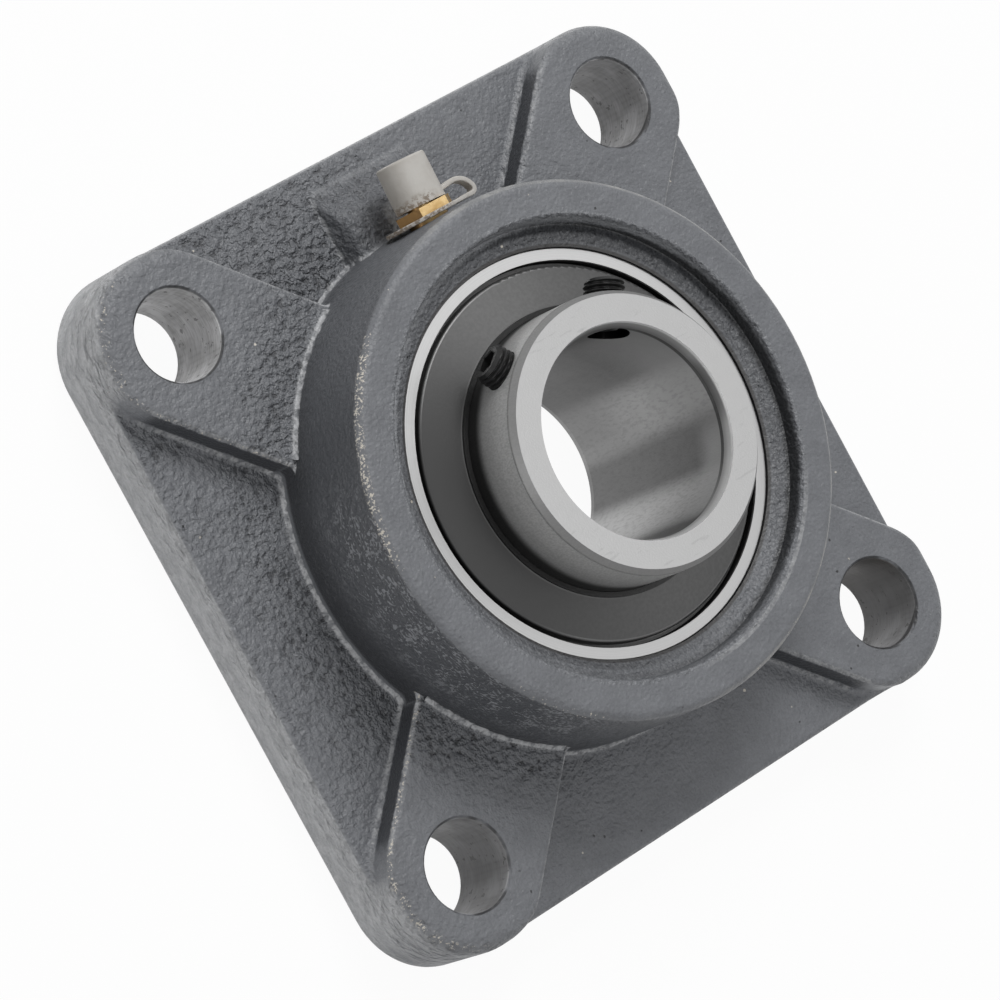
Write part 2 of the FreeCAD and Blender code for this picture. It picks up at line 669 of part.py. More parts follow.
def nipple_channel():
    """Bore through the nipple, narrowed at the mouth to a seat for the check ball."""
    shank_end = NIPPLE_SEAT_Y - NIPPLE_SHANK_LENGTH
    ball_r = CHECK_BALL_DIAMETER / 2 + CHECK_CLEARANCE
    channel_r = NIPPLE_CHANNEL / 2
    spring_seat = check_ball_y() - CHECK_BALL_DIAMETER / 2 - SPRING_LENGTH
    narrow_r = NIPPLE_MOUTH / 2
    return turned_about_nipple((0, shank_end - 1),
                               (narrow_r, shank_end - 1),
                               (narrow_r, spring_seat),
                               (channel_r, spring_seat),
                               (channel_r, check_ball_y()),
                               (narrow_r, check_ball_y() + ball_r),
                               (narrow_r, HEAD_TOP_Y + 1),
                               (0, HEAD_TOP_Y + 1))


def nipple_check_ball():
    """Ball that shuts the nipple's mouth."""
    return Part.makeSphere(CHECK_BALL_DIAMETER / 2, Vector(0, check_ball_y(), NIPPLE_HEIGHT))


def nipple_spring():
    """Coil spring behind the check ball."""
    wire_r = SPRING_WIRE / 2
    coil_r = SPRING_DIAMETER / 2 - wire_r
    rise = SPRING_LENGTH - SPRING_WIRE - 2 * CHECK_CLEARANCE
    helix = Part.makeLongHelix(rise / SPRING_TURNS, rise, coil_r)
    section = Part.Wire(Part.makeCircle(wire_r, Vector(coil_r, 0, 0), OUT))
    solid = Part.Wire(helix).makePipeShell([section], True, True)
    solid.rotate(CENTRE, Vector(1, 0, 0), -90)
    start = check_ball_y() - CHECK_BALL_DIAMETER / 2 - SPRING_LENGTH + wire_r + CHECK_CLEARANCE
    solid.translate(Vector(0, start, NIPPLE_HEIGHT))
    return solid


def nipple_cap():
    """Soft plastic cap pushed over the nipple's head, sitting slightly askew."""
    base = HEX_TOP_Y + CAP_SEAT_GAP
    inside_r = NIPPLE_HEAD_DIAMETER / 2 + CAP_CLEARANCE
    end_r = CAP_DIAMETER / 2 - CAP_DRAFT
    end = base + CAP_LENGTH
    edge = CAP_EDGE_ROUND
    cap = turned_about_nipple((inside_r, base),
                              (CAP_DIAMETER / 2, base),
                              (end_r, end - edge),
                              corner_arc((end_r - edge, end - edge), edge, 0, 90),
                              (0, end),
                              (0, end - CAP_END_WALL),
                              (inside_r, end - CAP_END_WALL))
    return rotated(cap, -CAP_LEAN, Vector(0, base, NIPPLE_HEIGHT))


def cap_tether():
    """Strap that loops from the cap to a ring held under the nipple's hexagon."""
    ring_low = NIPPLE_SEAT_Y + TETHER_RING_GAP
    ring_r = TETHER_RING_DIAMETER / 2
    ring = turned_about_nipple((NIPPLE_SHANK_DIAMETER / 2, ring_low), (ring_r, ring_low),
                               (ring_r, HEX_BASE_Y), (NIPPLE_SHANK_DIAMETER / 2, HEX_BASE_Y))
    half = TETHER_THICKNESS / 2
    low = (ring_low + HEX_BASE_Y) / 2
    top = math.radians(TETHER_TOP_ANGLE)
    turn = math.radians(TETHER_TURN_ANGLE)
    difference = TETHER_BIG_RADIUS - TETHER_SMALL_RADIUS
    small = Vector(TETHER_REACH + difference * math.cos(turn), low + TETHER_SMALL_RADIUS, 0)
    big = Vector(TETHER_REACH, small.y - difference * math.sin(turn), 0)
    run = (big.x + TETHER_BIG_RADIUS * math.cos(top) - CAP_DIAMETER / 2 - TETHER_CAP_GAP) / math.sin(top)

    def edge_of(offset):
        """One side of the strap, from the cap round to the ring."""
        big_r = TETHER_BIG_RADIUS + offset
        small_r = TETHER_SMALL_RADIUS + offset
        on_big = [big + Vector(math.cos(a), math.sin(a), 0) * big_r for a in (top, (top + turn) / 2, turn)]
        start = on_big[0] + Vector(-math.sin(top), math.cos(top), 0) * run
        end_angle = -math.pi / 2
        angles = ((turn + end_angle) / 2, end_angle)
        on_small = [small + Vector(math.cos(a), math.sin(a), 0) * small_r for a in angles]
        end = Vector(ring_r - TETHER_RING_THICKNESS, on_small[1].y, 0)
        edges = [Part.LineSegment(start, on_big[0]).toShape(),
                 Part.Arc(*on_big).toShape(),
                 Part.Arc(on_big[2], *on_small).toShape(),
                 Part.LineSegment(on_small[1], end).toShape()]
        return start, edges, end

    outer_start, outer_edges, outer_end = edge_of(half)
    inner_start, inner_edges, inner_end = edge_of(-half)
    edges = outer_edges + [Part.LineSegment(outer_end, inner_end).toShape()]
    edges += inner_edges[::-1] + [Part.LineSegment(inner_start, outer_start).toShape()]
    strap = Part.Face(Part.Wire(Part.__sortEdges__(edges))).extrude(UP * TETHER_WIDTH)
    strap.translate(UP * (NIPPLE_HEIGHT - TETHER_WIDTH / 2))
    return ring.fuse(strap).removeSplitter()


def pieces():
    """Every separate piece of the unit, by name."""
    parts = {
        "housing": housing(),
        "outer_ring": outer_ring(),
        "inner_ring": inner_ring(),
        "cage_front": cage_half(),
        "cage_rear": mirrored_front_to_back(cage_half()),
        "cage_rivets": cage_rivets(),
        "shield_front": seal_shield(),
        "shield_rear": mirrored_front_to_back(seal_shield()),
        "seal_lip_front": seal_lip(),
        "seal_lip_rear": mirrored_front_to_back(seal_lip()),
        "nipple_body": nipple_body(),
        "nipple_check_ball": nipple_check_ball(),
        "nipple_spring": nipple_spring(),
        "nipple_cap": nipple_cap(),
        "cap_tether": cap_tether(),
    }
    for index in range(BALL_COUNT):
        parts["ball_%d" % (index + 1)] = ball(index)
    for index, azimuth in enumerate(screw_azimuths()):
        parts["set_screw_%d" % (index + 1)] = set_screw(azimuth)
    return parts


os.makedirs("parts", exist_ok=True)
for name, shape in pieces().items():
    shape.exportStep("parts/%s.step" % name)
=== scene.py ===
import json
import math

import bpy
from mathutils import Matrix, Vector


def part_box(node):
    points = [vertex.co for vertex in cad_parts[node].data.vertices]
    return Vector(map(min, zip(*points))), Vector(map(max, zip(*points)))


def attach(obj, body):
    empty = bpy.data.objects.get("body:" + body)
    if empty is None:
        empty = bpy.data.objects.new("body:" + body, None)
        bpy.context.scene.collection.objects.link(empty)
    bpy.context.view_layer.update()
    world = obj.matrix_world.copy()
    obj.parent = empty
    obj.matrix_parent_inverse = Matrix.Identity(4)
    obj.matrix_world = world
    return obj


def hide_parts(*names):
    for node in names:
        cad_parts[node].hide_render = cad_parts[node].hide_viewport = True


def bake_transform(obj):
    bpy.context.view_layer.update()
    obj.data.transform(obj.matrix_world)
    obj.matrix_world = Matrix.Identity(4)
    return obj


# Looks of the flange bearing unit. Every length below is in millimetres in the part's own frame,
# unless its name ends in _M, and MM turns it into the scene's metres.
MM = 0.001

# Camera, where the photograph was taken from
CAMERA_PLACE = Vector((-397.886, 39.137, 611.182))
CAMERA_LOOK = Vector((0.545598, -0.055251, -0.836234))
CAMERA_UP = Vector((0.425057, 0.878198, 0.219306))
LENS = 182.733
CLIP_START_M = 0.05

# Lamps: name, where it hangs, how wide it is and its power in watts
LAMPS = (
    ("key", (190.0, 560.0, 690.0), 380.0, 4.6),
    ("overhead", (-60.0, -260.0, 1000.0), 900.0, 2.0),
    ("side", (-900.0, 120.0, 40.0), 360.0, 2.0),
)

# Light that the white world gives to what isn't seen directly
SKY_LEVEL = 0.25

# Floor, with the share of pure white in what the camera sees of it
FLOOR_WIDTH = 4000.0
FLOOR_GAP = 0.05
FLOOR_WHITE = 0.95
FLOOR_GREY = (0.86, 0.86, 0.86, 1)
FLOOR_ROUGHNESS = 0.9

# Places on the housing that its paint follows
HALF_SPACING = 41.5
CORNER_RADIUS = 12.2
HOLE_EDGE = 7.02
FLOOR_HEIGHT = 9.0
PAD_HEIGHT = 14.0
HUB_HEIGHT = 31.0
HUB_RADIUS = 39.3
RECESS_RADIUS = 33.6
RECESS_FLOOR = 28.4
SEAT_RADIUS = 31.1
SEAT_FRONT = 27.4
SPOT_FACE_RADIUS = 6.8
BOSS_START = 38.5
BOSS_HALF_WIDTH = 11.0

# How far from the axis the casting stays rough, and the way over which that fades
ROUGH_RADIUS = 43.5
ROUGH_FADE = 8.0

# Height of the housing's relief, at its strongest
LUMP_HEIGHT = 0.31
RIPPLE_HEIGHT = 2.2
DASH_HEIGHT = 0.12

# Directions round the shaft axis, in degrees from +X, most of them where painted light or painted shade is
# strongest: the camera stands on the near side
FAR_SIDE = 0
NIPPLE_SIDE = 90
NEAR_SIDE = 180
SHADED_SIDE = 222
HUB_LIT_SIDE = 112
HUB_FOOT_SIDE = 190
DASHES_SIDE = 202
FAR_RIM_SIDE = 5
LIP_SIDE = -62
BRINK_SIDE = 170
RECESS_DIM_SIDE = 20
RECESS_CLEAR_WALL = 50
RECESS_CLEAR_FLOOR = 115

# Painted shade: a dark band in the recess's corner, and the directions in which it starts furthest out, is
# widest, darkest and dullest, and how far out it ends on average and swings to either side of that
BAND_STARTS_LATE = -65
BAND_WIDEST = -18
BAND_DARKEST = 15
BAND_DULLEST = 65
BAND_END = 1.35
BAND_END_SWING = 2.35

# Chips on the hub's rim: direction, where they start and are densest, and their share
CHIPPED_SIDES = ((156, 0.86, 0.95, 1.0), (228, 0.95, 0.985, 0.45), (296, 0.86, 0.96, 0.4))

# Direction from the middle of the two holes at +X to the ledge in their mouths, whose shadow is painted
LEDGE_X = 0.1
LEDGE_Y = 0.995

# Places on the inner ring: the foot is what stands in the shield's shade, which is painted there
BORE_RADIUS = 15.0
LEAD_IN_START = 38.6
INNER_RADIUS = 20.15
RING_FOOT_TOP = 32.4
RING_LINE = 39.2
SCREW_HEIGHT = 35.2
SCREW_HOLE_RADIUS = 3.02
SCREW_ANGLES = (math.radians(63), math.radians(126))

# Shield of the front seal
SHIELD_SEAT_RADIUS = 27.79
SHIELD_BORE_RADIUS = 20.95

# Cap's strap: the ring under the nipple's hexagon and the loop that joins it to the cap. A bend is
# its centre, its radius and its first and last angle, and places in the loop are (x, y).
NIPPLE_HEIGHT = 19.5
TIE_BOTTOM = 39.2
TIE_TOP = 39.8
TIE_INNER_RADIUS = 3.0
TIE_OUTER_RADIUS = 6.5
TIE_EDGE = 0.15
STRAP_WIDTH = 1.8
STRAP_THICKNESS = 0.75
STRAP_EDGE = 0.2
STRAP_START = (5.9, 39.5)
STRAP_BENDS = (((8.20, 40.25), 0.75, -90.0, 18.0), ((6.3, 39.63), 2.75, 18.0, 98.0))
STRAP_END = (3.72, 42.12)
STRAP_STEP = 6.0
TIE_SIDES = 96
CORNER_STEPS = 4

# Where the soiling of the cap ends
SOILED_TO = 43.8

# Set screws: the thread's crest and flank are parts of half a pitch
THREAD_PITCH = 0.75
THREAD_DEPTH = 0.42
THREAD_CREST = 0.15
THREAD_FLANK = 0.7
SCREW_SIDES = 72
ROWS_PER_TURN = 12
SCREW_CHAMFER = 0.6
CUP_RADIUS = 1.5
SOCKET_FLATS = 3.0
SOCKET_DEPTH = 3.2
SOCKET_MOUTH_SCALE = 1.1
SOCKET_MOUTH_DEPTH = 0.15
SOCKET_POINT_DEPTH = 0.5

# Edges that turn by more degrees than this stay crisp
SHARP_ANGLE = 35

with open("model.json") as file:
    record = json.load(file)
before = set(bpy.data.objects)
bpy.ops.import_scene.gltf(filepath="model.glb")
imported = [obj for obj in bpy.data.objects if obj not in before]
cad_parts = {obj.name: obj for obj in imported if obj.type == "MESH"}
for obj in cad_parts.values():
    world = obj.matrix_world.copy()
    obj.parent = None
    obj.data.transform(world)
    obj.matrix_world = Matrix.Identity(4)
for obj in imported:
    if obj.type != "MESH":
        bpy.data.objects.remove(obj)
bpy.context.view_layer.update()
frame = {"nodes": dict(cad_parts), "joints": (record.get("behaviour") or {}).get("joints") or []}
nodes = frame["nodes"]
joints = {joint["name"]: joint for joint in frame["joints"]}


def linear(red, green, blue):
    """Linear colour from the 0 to 255 values that a picture shows."""
    def channel(value):
        value /= 255
        return value / 12.92 if value <= 0.04045 else ((value + 0.055) / 1.055) ** 2.4
    return (channel(red), channel(green), channel(blue), 1.0)


def grey(level, blue=None):
    """Linear grey, with a blue of its own where that is given."""
    return linear(level, level, level if blue is None else blue)


# Colours of the paint, of the chips and pits in it, and of the bare iron, with colours for painted light,
# highlights and shade on both
PAINT = linear(113, 115, 119)
DARK_PAINT_AND_SHADE = linear(64, 66, 70)
DEEP_PAINTED_SHADE = linear(36, 37, 40)
PALE_PAINT_AND_HIGHLIGHT = linear(158, 159, 161)
RECESS_PAINTED_LIGHT = linear(160, 162, 166)
CORNER_PAINTED_SHADE = linear(34, 35, 37)
SPOT_FACE_PAINTED_LIGHT = linear(176, 177, 179)
SIDE_PAINTED_LIGHT = linear(174, 175, 177)
STEP_PAINTED_SHADE = linear(46, 48, 52)
FOOT_PAINTED_HIGHLIGHT = linear(196, 197, 199)
RIM_PAINTED_HIGHLIGHT = linear(172, 171, 168)
DASH_PAINTED_HIGHLIGHT = linear(150, 152, 156)
CHIP = linear(204, 198, 187)
PIT = linear(30, 31, 33)
SEAM = linear(44, 42, 41)
IRON_PAINTED_LIGHT = grey(228, blue=229)
SHADED_IRON = linear(58, 54, 50)
LINED_IRON = linear(104, 101, 98)
MOTTLED_IRON = linear(92, 90, 88)
PORE = linear(58, 56, 54)


class Value:
    """One number of a node tree, with arithmetic that adds the nodes."""

    def __init__(self, finish, socket):
        self.finish = finish
        self.socket = socket

    def __add__(self, other):
        return self.finish.math("ADD", self, other)

    def __radd__(self, other):
        return self.finish.math("ADD", other, self)

    def __sub__(self, other):
        return self.finish.math("SUBTRACT", self, other)

    def __rsub__(self, other):
        return self.finish.math("SUBTRACT", other, self)

    def __mul__(self, other):
        return self.finish.math("MULTIPLY", self, other)

    def __rmul__(self, other):
        return self.finish.math("MULTIPLY", other, self)

    def __abs__(self):
        return self.finish.math("ABSOLUTE", self)

    def rise(self, low, high):
        """0 below low, 1 above high, and smooth between them."""
        node = self.finish.node("ShaderNodeMapRange", interpolation_type="SMOOTHSTEP")
        self.finish.feed(node.inputs["Value"], self)
        node.inputs["From Min"].default_value = low
        node.inputs["From Max"].default_value = high
        return Value(self.finish, node.outputs["Result"])

    def fall(self, low, high):
        """1 below low, 0 above high, and smooth between them."""
        return 1 - self.rise(low, high)

    def band(self, low, high, edge):
        """1 between low and high, 0 outside, with edges of that width."""
        return self.rise(low - edge, low) * self.fall(high, high + edge)


class Finish:
    """A material under construction, with places in the part's frame in millimetres."""

    def __init__(self, name, metallic=0.0):
        self.material = bpy.data.materials.new(name)
        self.material.use_nodes = True
        self.tree = self.material.node_tree
        self.shader = self.tree.nodes["Principled BSDF"]
        self.shader.inputs["Metallic"].default_value = metallic
        coordinates = self.node("ShaderNodeTexCoord")
        self.place = self.vector("SCALE", coordinates.outputs["Object"], scale=1 / MM)
        self.x, self.y, self.z = self.split(self.place)
        self.facing = self.split(coordinates.outputs["Normal"])
        self.radius = self.flat_length(self.place)
        self.normal = None

    def node(self, kind, **settings):
        made = self.tree.nodes.new(kind)
        for key, value in settings.items():
            setattr(made, key, value)
        return made

    def feed(self, socket, value):
        if isinstance(value, Value):
            value = value.socket
        if isinstance(value, bpy.types.NodeSocket):
            self.tree.links.new(value, socket)
        else:
            socket.default_value = value

    def math(self, operation, *values):
        made = self.node("ShaderNodeMath", operation=operation)
        for socket, value in zip(made.inputs, values):
            self.feed(socket, value)
        return Value(self, made.outputs[0])

    def vector(self, operation, *values, scale=None):
        made = self.node("ShaderNodeVectorMath", operation=operation)
        for socket, value in zip(made.inputs, values):
            self.feed(socket, value)
        if scale is not None:
            made.inputs["Scale"].default_value = scale
        return made.outputs["Vector"]

    def split(self, socket):
        made = self.node("ShaderNodeSeparateXYZ")
        self.feed(made.inputs[0], socket)
        return [Value(self, output) for output in made.outputs]

    def join(self, x, y, z):
        made = self.node("ShaderNodeCombineXYZ")
        for socket, value in zip(made.inputs, (x, y, z)):
            self.feed(socket, value)
        return made.outputs[0]

    def flat_length(self, place, centre=(0.0, 0.0, 0.0)):
        """Distance from a centre in the XY plane."""
        flat = self.vector("MULTIPLY", self.vector("SUBTRACT", place, centre), (1.0, 1.0, 0.0))
        made = self.node("ShaderNodeVectorMath", operation="LENGTH")
        self.feed(made.inputs[0], flat)
        return Value(self, made.outputs["Value"])

    def towards(self, degrees):
        """Cosine of the angle round the Z axis from a direction: 1 there and -1 opposite."""
        angle = math.radians(degrees)
        along = self.x * math.cos(angle) + self.y * math.sin(angle)
        return self.math("DIVIDE", along, self.radius)

    def noise(self, size, detail=2.0, roughness=0.5, place=None):
        """Noise with spots of about that size in millimetres."""
        made = self.node("ShaderNodeTexNoise")
        self.feed(made.inputs["Vector"], self.place if place is None else place)
        made.inputs["Scale"].default_value = 1 / size
        made.inputs["Detail"].default_value = detail
        made.inputs["Roughness"].default_value = roughness
        return Value(self, made.outputs["Fac"])

    def cells(self, size):
        """Distance from the centre of the nearest cell, and a random number for each cell."""
        made = self.node("ShaderNodeTexVoronoi")
        self.feed(made.inputs["Vector"], self.place)
        made.inputs["Scale"].default_value = 1 / size
        return Value(self, made.outputs["Distance"]), self.split(made.outputs["Color"])[0]

    def blend(self, amount, first, second):
        """Colour between two colours: the first at an amount of 0 and the second at 1."""
        made = self.node("ShaderNodeMix", data_type="RGBA", clamp_factor=True)
        self.feed(made.inputs["Factor"], amount)
        self.feed(made.inputs[6], first)
        self.feed(made.inputs[7], second)
        return made.outputs[2]

    def shade(self, colour, factor):
        """Colour made lighter or darker."""
        made = self.node("ShaderNodeVectorMath", operation="SCALE")
        self.feed(made.inputs[0], colour[:3] if isinstance(colour, tuple) else colour)
        self.feed(made.inputs["Scale"], factor)
        return made.outputs["Vector"]

    def raise_by(self, pattern, height):
        """Adds relief: a pattern from 0 to 1 that stands up by a height in millimetres."""
        bump = self.node("ShaderNodeBump")
        bump.inputs["Strength"].default_value = 1.0
        self.feed(bump.inputs["Distance"], height * MM)
        self.feed(bump.inputs["Height"], pattern)
        if self.normal:
            self.tree.links.new(self.normal, bump.inputs["Normal"])
        self.normal = bump.outputs["Normal"]

    def done(self, colour, roughness):
        self.feed(self.shader.inputs["Base Color"], colour)
        self.feed(self.shader.inputs["Roughness"], roughness)
        if self.normal:
            self.tree.links.new(self.normal, self.shader.inputs["Normal"])
        return self.material


def housing_noises(f):
    """Noises that several parts of the housing's finish share, by the size of their spots."""
    return {
        "wide": f.noise(7.5, 1.0),
        "broad": f.noise(4.5, 2.0),
        "clumps": f.noise(2.7, 1.0),
        "ragged": f.noise(1.1, 2.0, 0.6),
        "fine": f.noise(0.38, 2.0, 0.6),
    }


def recess_band(f, climb):
    """Painted shade: a dark band in the corner of the hub's recess, wide on the +X side and thin on the -X
    side.

    climb is the way out along the recess's floor and then up its wall. The second number is
    the way beyond the band's end."""
    start = 0.35 * f.towards(FAR_SIDE) - 0.35 + 0.85 * f.towards(BAND_STARTS_LATE).rise(0.0, 0.75)
    beyond = climb - (BAND_END + BAND_END_SWING * f.towards(BAND_WIDEST))
    band = (climb - start).rise(-0.6, 0.5) * beyond.fall(-0.6, 0.6)
    return band * (0.28 + 0.64 * f.towards(BAND_DARKEST).rise(-0.75, 0.6)), beyond


def flange_zones(f, noise):
    """Where the flange's sides, steps, floor and pads are, and its bolt holes."""
    upward = f.facing[2]
    top = upward.rise(0.8, 0.95)
    folded = f.vector("ABSOLUTE", f.place)
    bolt = (HALF_SPACING, HALF_SPACING, 0.0)
    from_bolt = f.flat_length(folded, bolt)
    beyond = f.vector("MAXIMUM", f.vector("SUBTRACT", folded, bolt), (0.0, 0.0, 0.0))
    from_side = CORNER_RADIUS - f.flat_length(beyond)
    ragged = noise["ragged"] - 0.5
    side = f.z.fall(PAD_HEIGHT + 0.5, PAD_HEIGHT + 1.5) * from_side.fall(0.1, 0.9) * upward.fall(0.5, 0.8)
    upright = abs(upward).fall(0.15, 0.5)
    step = (f.z + 1.2 * ragged).band(FLOOR_HEIGHT + 1.0, PAD_HEIGHT - 1.0, 0.4)
    flank = upright * step * from_side.rise(2.0, 4.0) * f.radius.rise(HUB_RADIUS + 0.5, HUB_RADIUS + 1.5)
    boss = f.y.rise(BOSS_START, BOSS_START + 1) * abs(f.x).fall(BOSS_HALF_WIDTH, BOSS_HALF_WIDTH + 1)
    boss = boss * f.z.band(FLOOR_HEIGHT + 1, HUB_HEIGHT - 2, 1.0)
    from_nipple = f.flat_length(f.join(f.x, f.z - NIPPLE_HEIGHT, 0.0))
    tilt = upward + 0.5 * ragged
    edge = tilt.rise(0.15, 0.42) * tilt.fall(0.8, 0.97) * f.z.fall(HUB_HEIGHT - 4, HUB_HEIGHT - 3)
    edge = edge * (1 - side) * (1 - boss) * from_bolt.rise(HOLE_EDGE + 0.3, HOLE_EDGE + 0.6)
    return {
        "top": top,
        "side": side,
        "flank": flank,
        "edge": edge,
        "outer": from_side.fall(2.2, 3.2),
        "floor": top * f.z.fall(FLOOR_HEIGHT + 0.8, FLOOR_HEIGHT + 4),
        "pad": top * f.z.band(PAD_HEIGHT - 0.4, PAD_HEIGHT + 0.4, 0.3),
        "boss": boss,
        "spot_face": boss * from_nipple.fall(SPOT_FACE_RADIUS + 0.1, SPOT_FACE_RADIUS + 0.4),
        "from_bolt": from_bolt,
        "in_hole": from_bolt.fall(HOLE_EDGE - 0.35, HOLE_EDGE - 0.2),
        "minus_x": (f.x + 0.6 * f.math("MAXIMUM", 0 - f.y, 0.0)).fall(-12, 20),
    }


def hub_zones(f, noise):
    """Where the hub's wall, its recess and the seat are, and how near the hub a place is."""
    upward = f.facing[2]
    smooth_patch = f.y.fall(-26, -12) * f.x.rise(-44, -30)
    wavy = f.radius + 9 * (noise["wide"] - 0.5) + 3.5 * smooth_patch
    hub_wall = abs(upward).fall(0.15, 0.5) * f.radius.band(HUB_RADIUS - 1.2, HUB_RADIUS + 0.7, 0.3)
    recess = f.radius.fall(RECESS_RADIUS + 0.1, RECESS_RADIUS + 0.3)
    recess = recess * f.z.rise(SEAT_FRONT + 0.05, SEAT_FRONT + 0.3)
    climb = f.radius + f.z - (SEAT_RADIUS + RECESS_FLOOR + 0.2)
    corner, beyond = recess_band(f, climb + 1.4 * (noise["ragged"] - 0.5))
    inside = f.radius.fall(SEAT_RADIUS + 1.6, SEAT_RADIUS + 1.8)
    return {
        "near_hub": wavy.fall(ROUGH_RADIUS, ROUGH_RADIUS + ROUGH_FADE),
        "hub_wall": hub_wall * f.z.rise(FLOOR_HEIGHT + 1.2, FLOOR_HEIGHT + 1.9),
        "recess": recess,
        "recess_corner": recess * corner,
        "climb": climb,
        "beyond_corner": beyond,
        "inside": inside * f.z.fall(SEAT_FRONT - 0.1, SEAT_FRONT + 0.1),
    }


def housing_zones(f, noise):
    """Where the housing's surfaces are, each a number from 0 to 1, and a few distances."""
    zone = {**flange_zones(f, noise), **hub_zones(f, noise)}
    machined = f.math("MAXIMUM", zone["in_hole"], zone["inside"])
    zone["bare"] = f.math("MAXIMUM", machined, f.facing[2].fall(-0.95, -0.8))
    return zone


def casting_relief(f, zone, noise):
    """Sand-cast skin: lumps and pits near the hub and the steps, and nearly smooth on the +X side."""
    painted = 1 - zone["bare"]
    patches = noise["wide"].rise(0.38, 0.58)
    corner = f.y.rise(24, 34) * f.x.fall(-8, 4)
    floor = zone["floor"] * (0.25 + 0.6 * zone["near_hub"] + 0.25 * patches + 0.5 * corner)
    pad = zone["pad"] * (0.18 + zone["near_hub"] * (0.7 + 0.3 * patches))
    rough = (floor + pad) * (0.2 + 0.8 * zone["minus_x"]) + 0.4 * zone["edge"] + 0.15 * zone["hub_wall"]
    rough = rough + 0.3 * zone["recess"] * (1 - zone["recess_corner"]) + 0.5 * zone["boss"]
    rough = (rough + 0.06) * painted
    grain = f.noise(1.15, 2.0, 0.55)
    f.raise_by(grain.rise(0.4, 0.68) - 0.5 * grain.fall(0.32, 0.42), rough * LUMP_HEIGHT)
    f.raise_by(f.noise(0.55, 1.0), (0.19 + 0.1 * zone["recess"]) * painted)

    # Ripples along the outside walls, and short dashes round the hub's wall
    ripples = f.noise(1.6, 2.0, 0.55, place=f.join(f.x * 0.6, f.y * 0.6, f.z))
    f.raise_by(ripples, zone["side"] * (0.4 + f.z.rise(3.0, 9.0)) * RIPPLE_HEIGHT)
    dashes = f.noise(0.38, 1.0, place=f.join(f.x * 0.7, f.y * 0.7, f.z))
    dashes = (dashes + 0.5 * noise["clumps"]).rise(0.79, 0.88)
    dashes = dashes * zone["hub_wall"] * f.towards(DASHES_SIDE).rise(0.7, 0.88) * f.z.rise(15, 23)
    f.raise_by(dashes, DASH_HEIGHT)
    return {"grain": grain, "rough": rough, "ripples": ripples, "dashes": dashes}


def recess_colour(f, zone, noise, colour):
    """Painted light and shade in the hub's recess: painted shade on the +X side and in its dark corner,
    painted light on parts of its wall and floor, and a painted highlight on the lip near -Y.
    """
    # Painted shade on the recess's floor towards +X
    dim = 0.45 * f.towards(RECESS_DIM_SIDE).rise(0.1, 0.8)
    dim = dim + 0.2 * f.towards(RECESS_CLEAR_WALL).rise(0.7, 0.95)
    colour = f.blend(zone["recess"] * dim * zone["climb"].fall(0.8, 1.5), colour, DEEP_PAINTED_SHADE)
    # Painted light on parts of the recess's wall and floor
    wall = zone["climb"].rise(1.6, 3.2) * f.z.fall(HUB_HEIGHT - 0.7, HUB_HEIGHT - 0.2)
    floor = zone["beyond_corner"].rise(0.0, 0.5) * f.z.fall(RECESS_FLOOR + 0.2, RECESS_FLOOR + 0.6)
    clear = 0.65 * f.towards(RECESS_CLEAR_WALL).rise(0.1, 0.6) * wall
    clear = clear + 0.4 * f.towards(RECESS_CLEAR_FLOOR).rise(0.4, 0.8) * floor
    colour = f.blend(zone["recess"] * clear, colour, RECESS_PAINTED_LIGHT)
    # Painted shadow of the ring along the seat's edge on the -X side
    brink = zone["climb"].fall(-1.0, -0.6) * f.towards(BRINK_SIDE).rise(-0.3, 0.3)
    colour = f.blend(zone["recess"] * brink * 0.4, colour, DEEP_PAINTED_SHADE)
    # Painted highlight on the lip of the recess near -Y
    lip = f.radius.band(RECESS_RADIUS - 0.1, RECESS_RADIUS + 0.4, 0.15) * f.towards(LIP_SIDE).rise(0.8, 0.96)
    lip = lip * f.z.rise(HUB_HEIGHT - 0.9, HUB_HEIGHT - 0.6)
    colour = f.blend(lip * (0.3 + 0.5 * noise["ragged"].rise(0.4, 0.6)), colour, PALE_PAINT_AND_HIGHLIGHT)
    colour = f.blend(zone["recess"] * noise["fine"].rise(0.52, 0.62) * 0.2, colour, PALE_PAINT_AND_HIGHLIGHT)
    # Painted shade in the recess's dark corner
    return f.blend(zone["recess_corner"], colour, CORNER_PAINTED_SHADE)


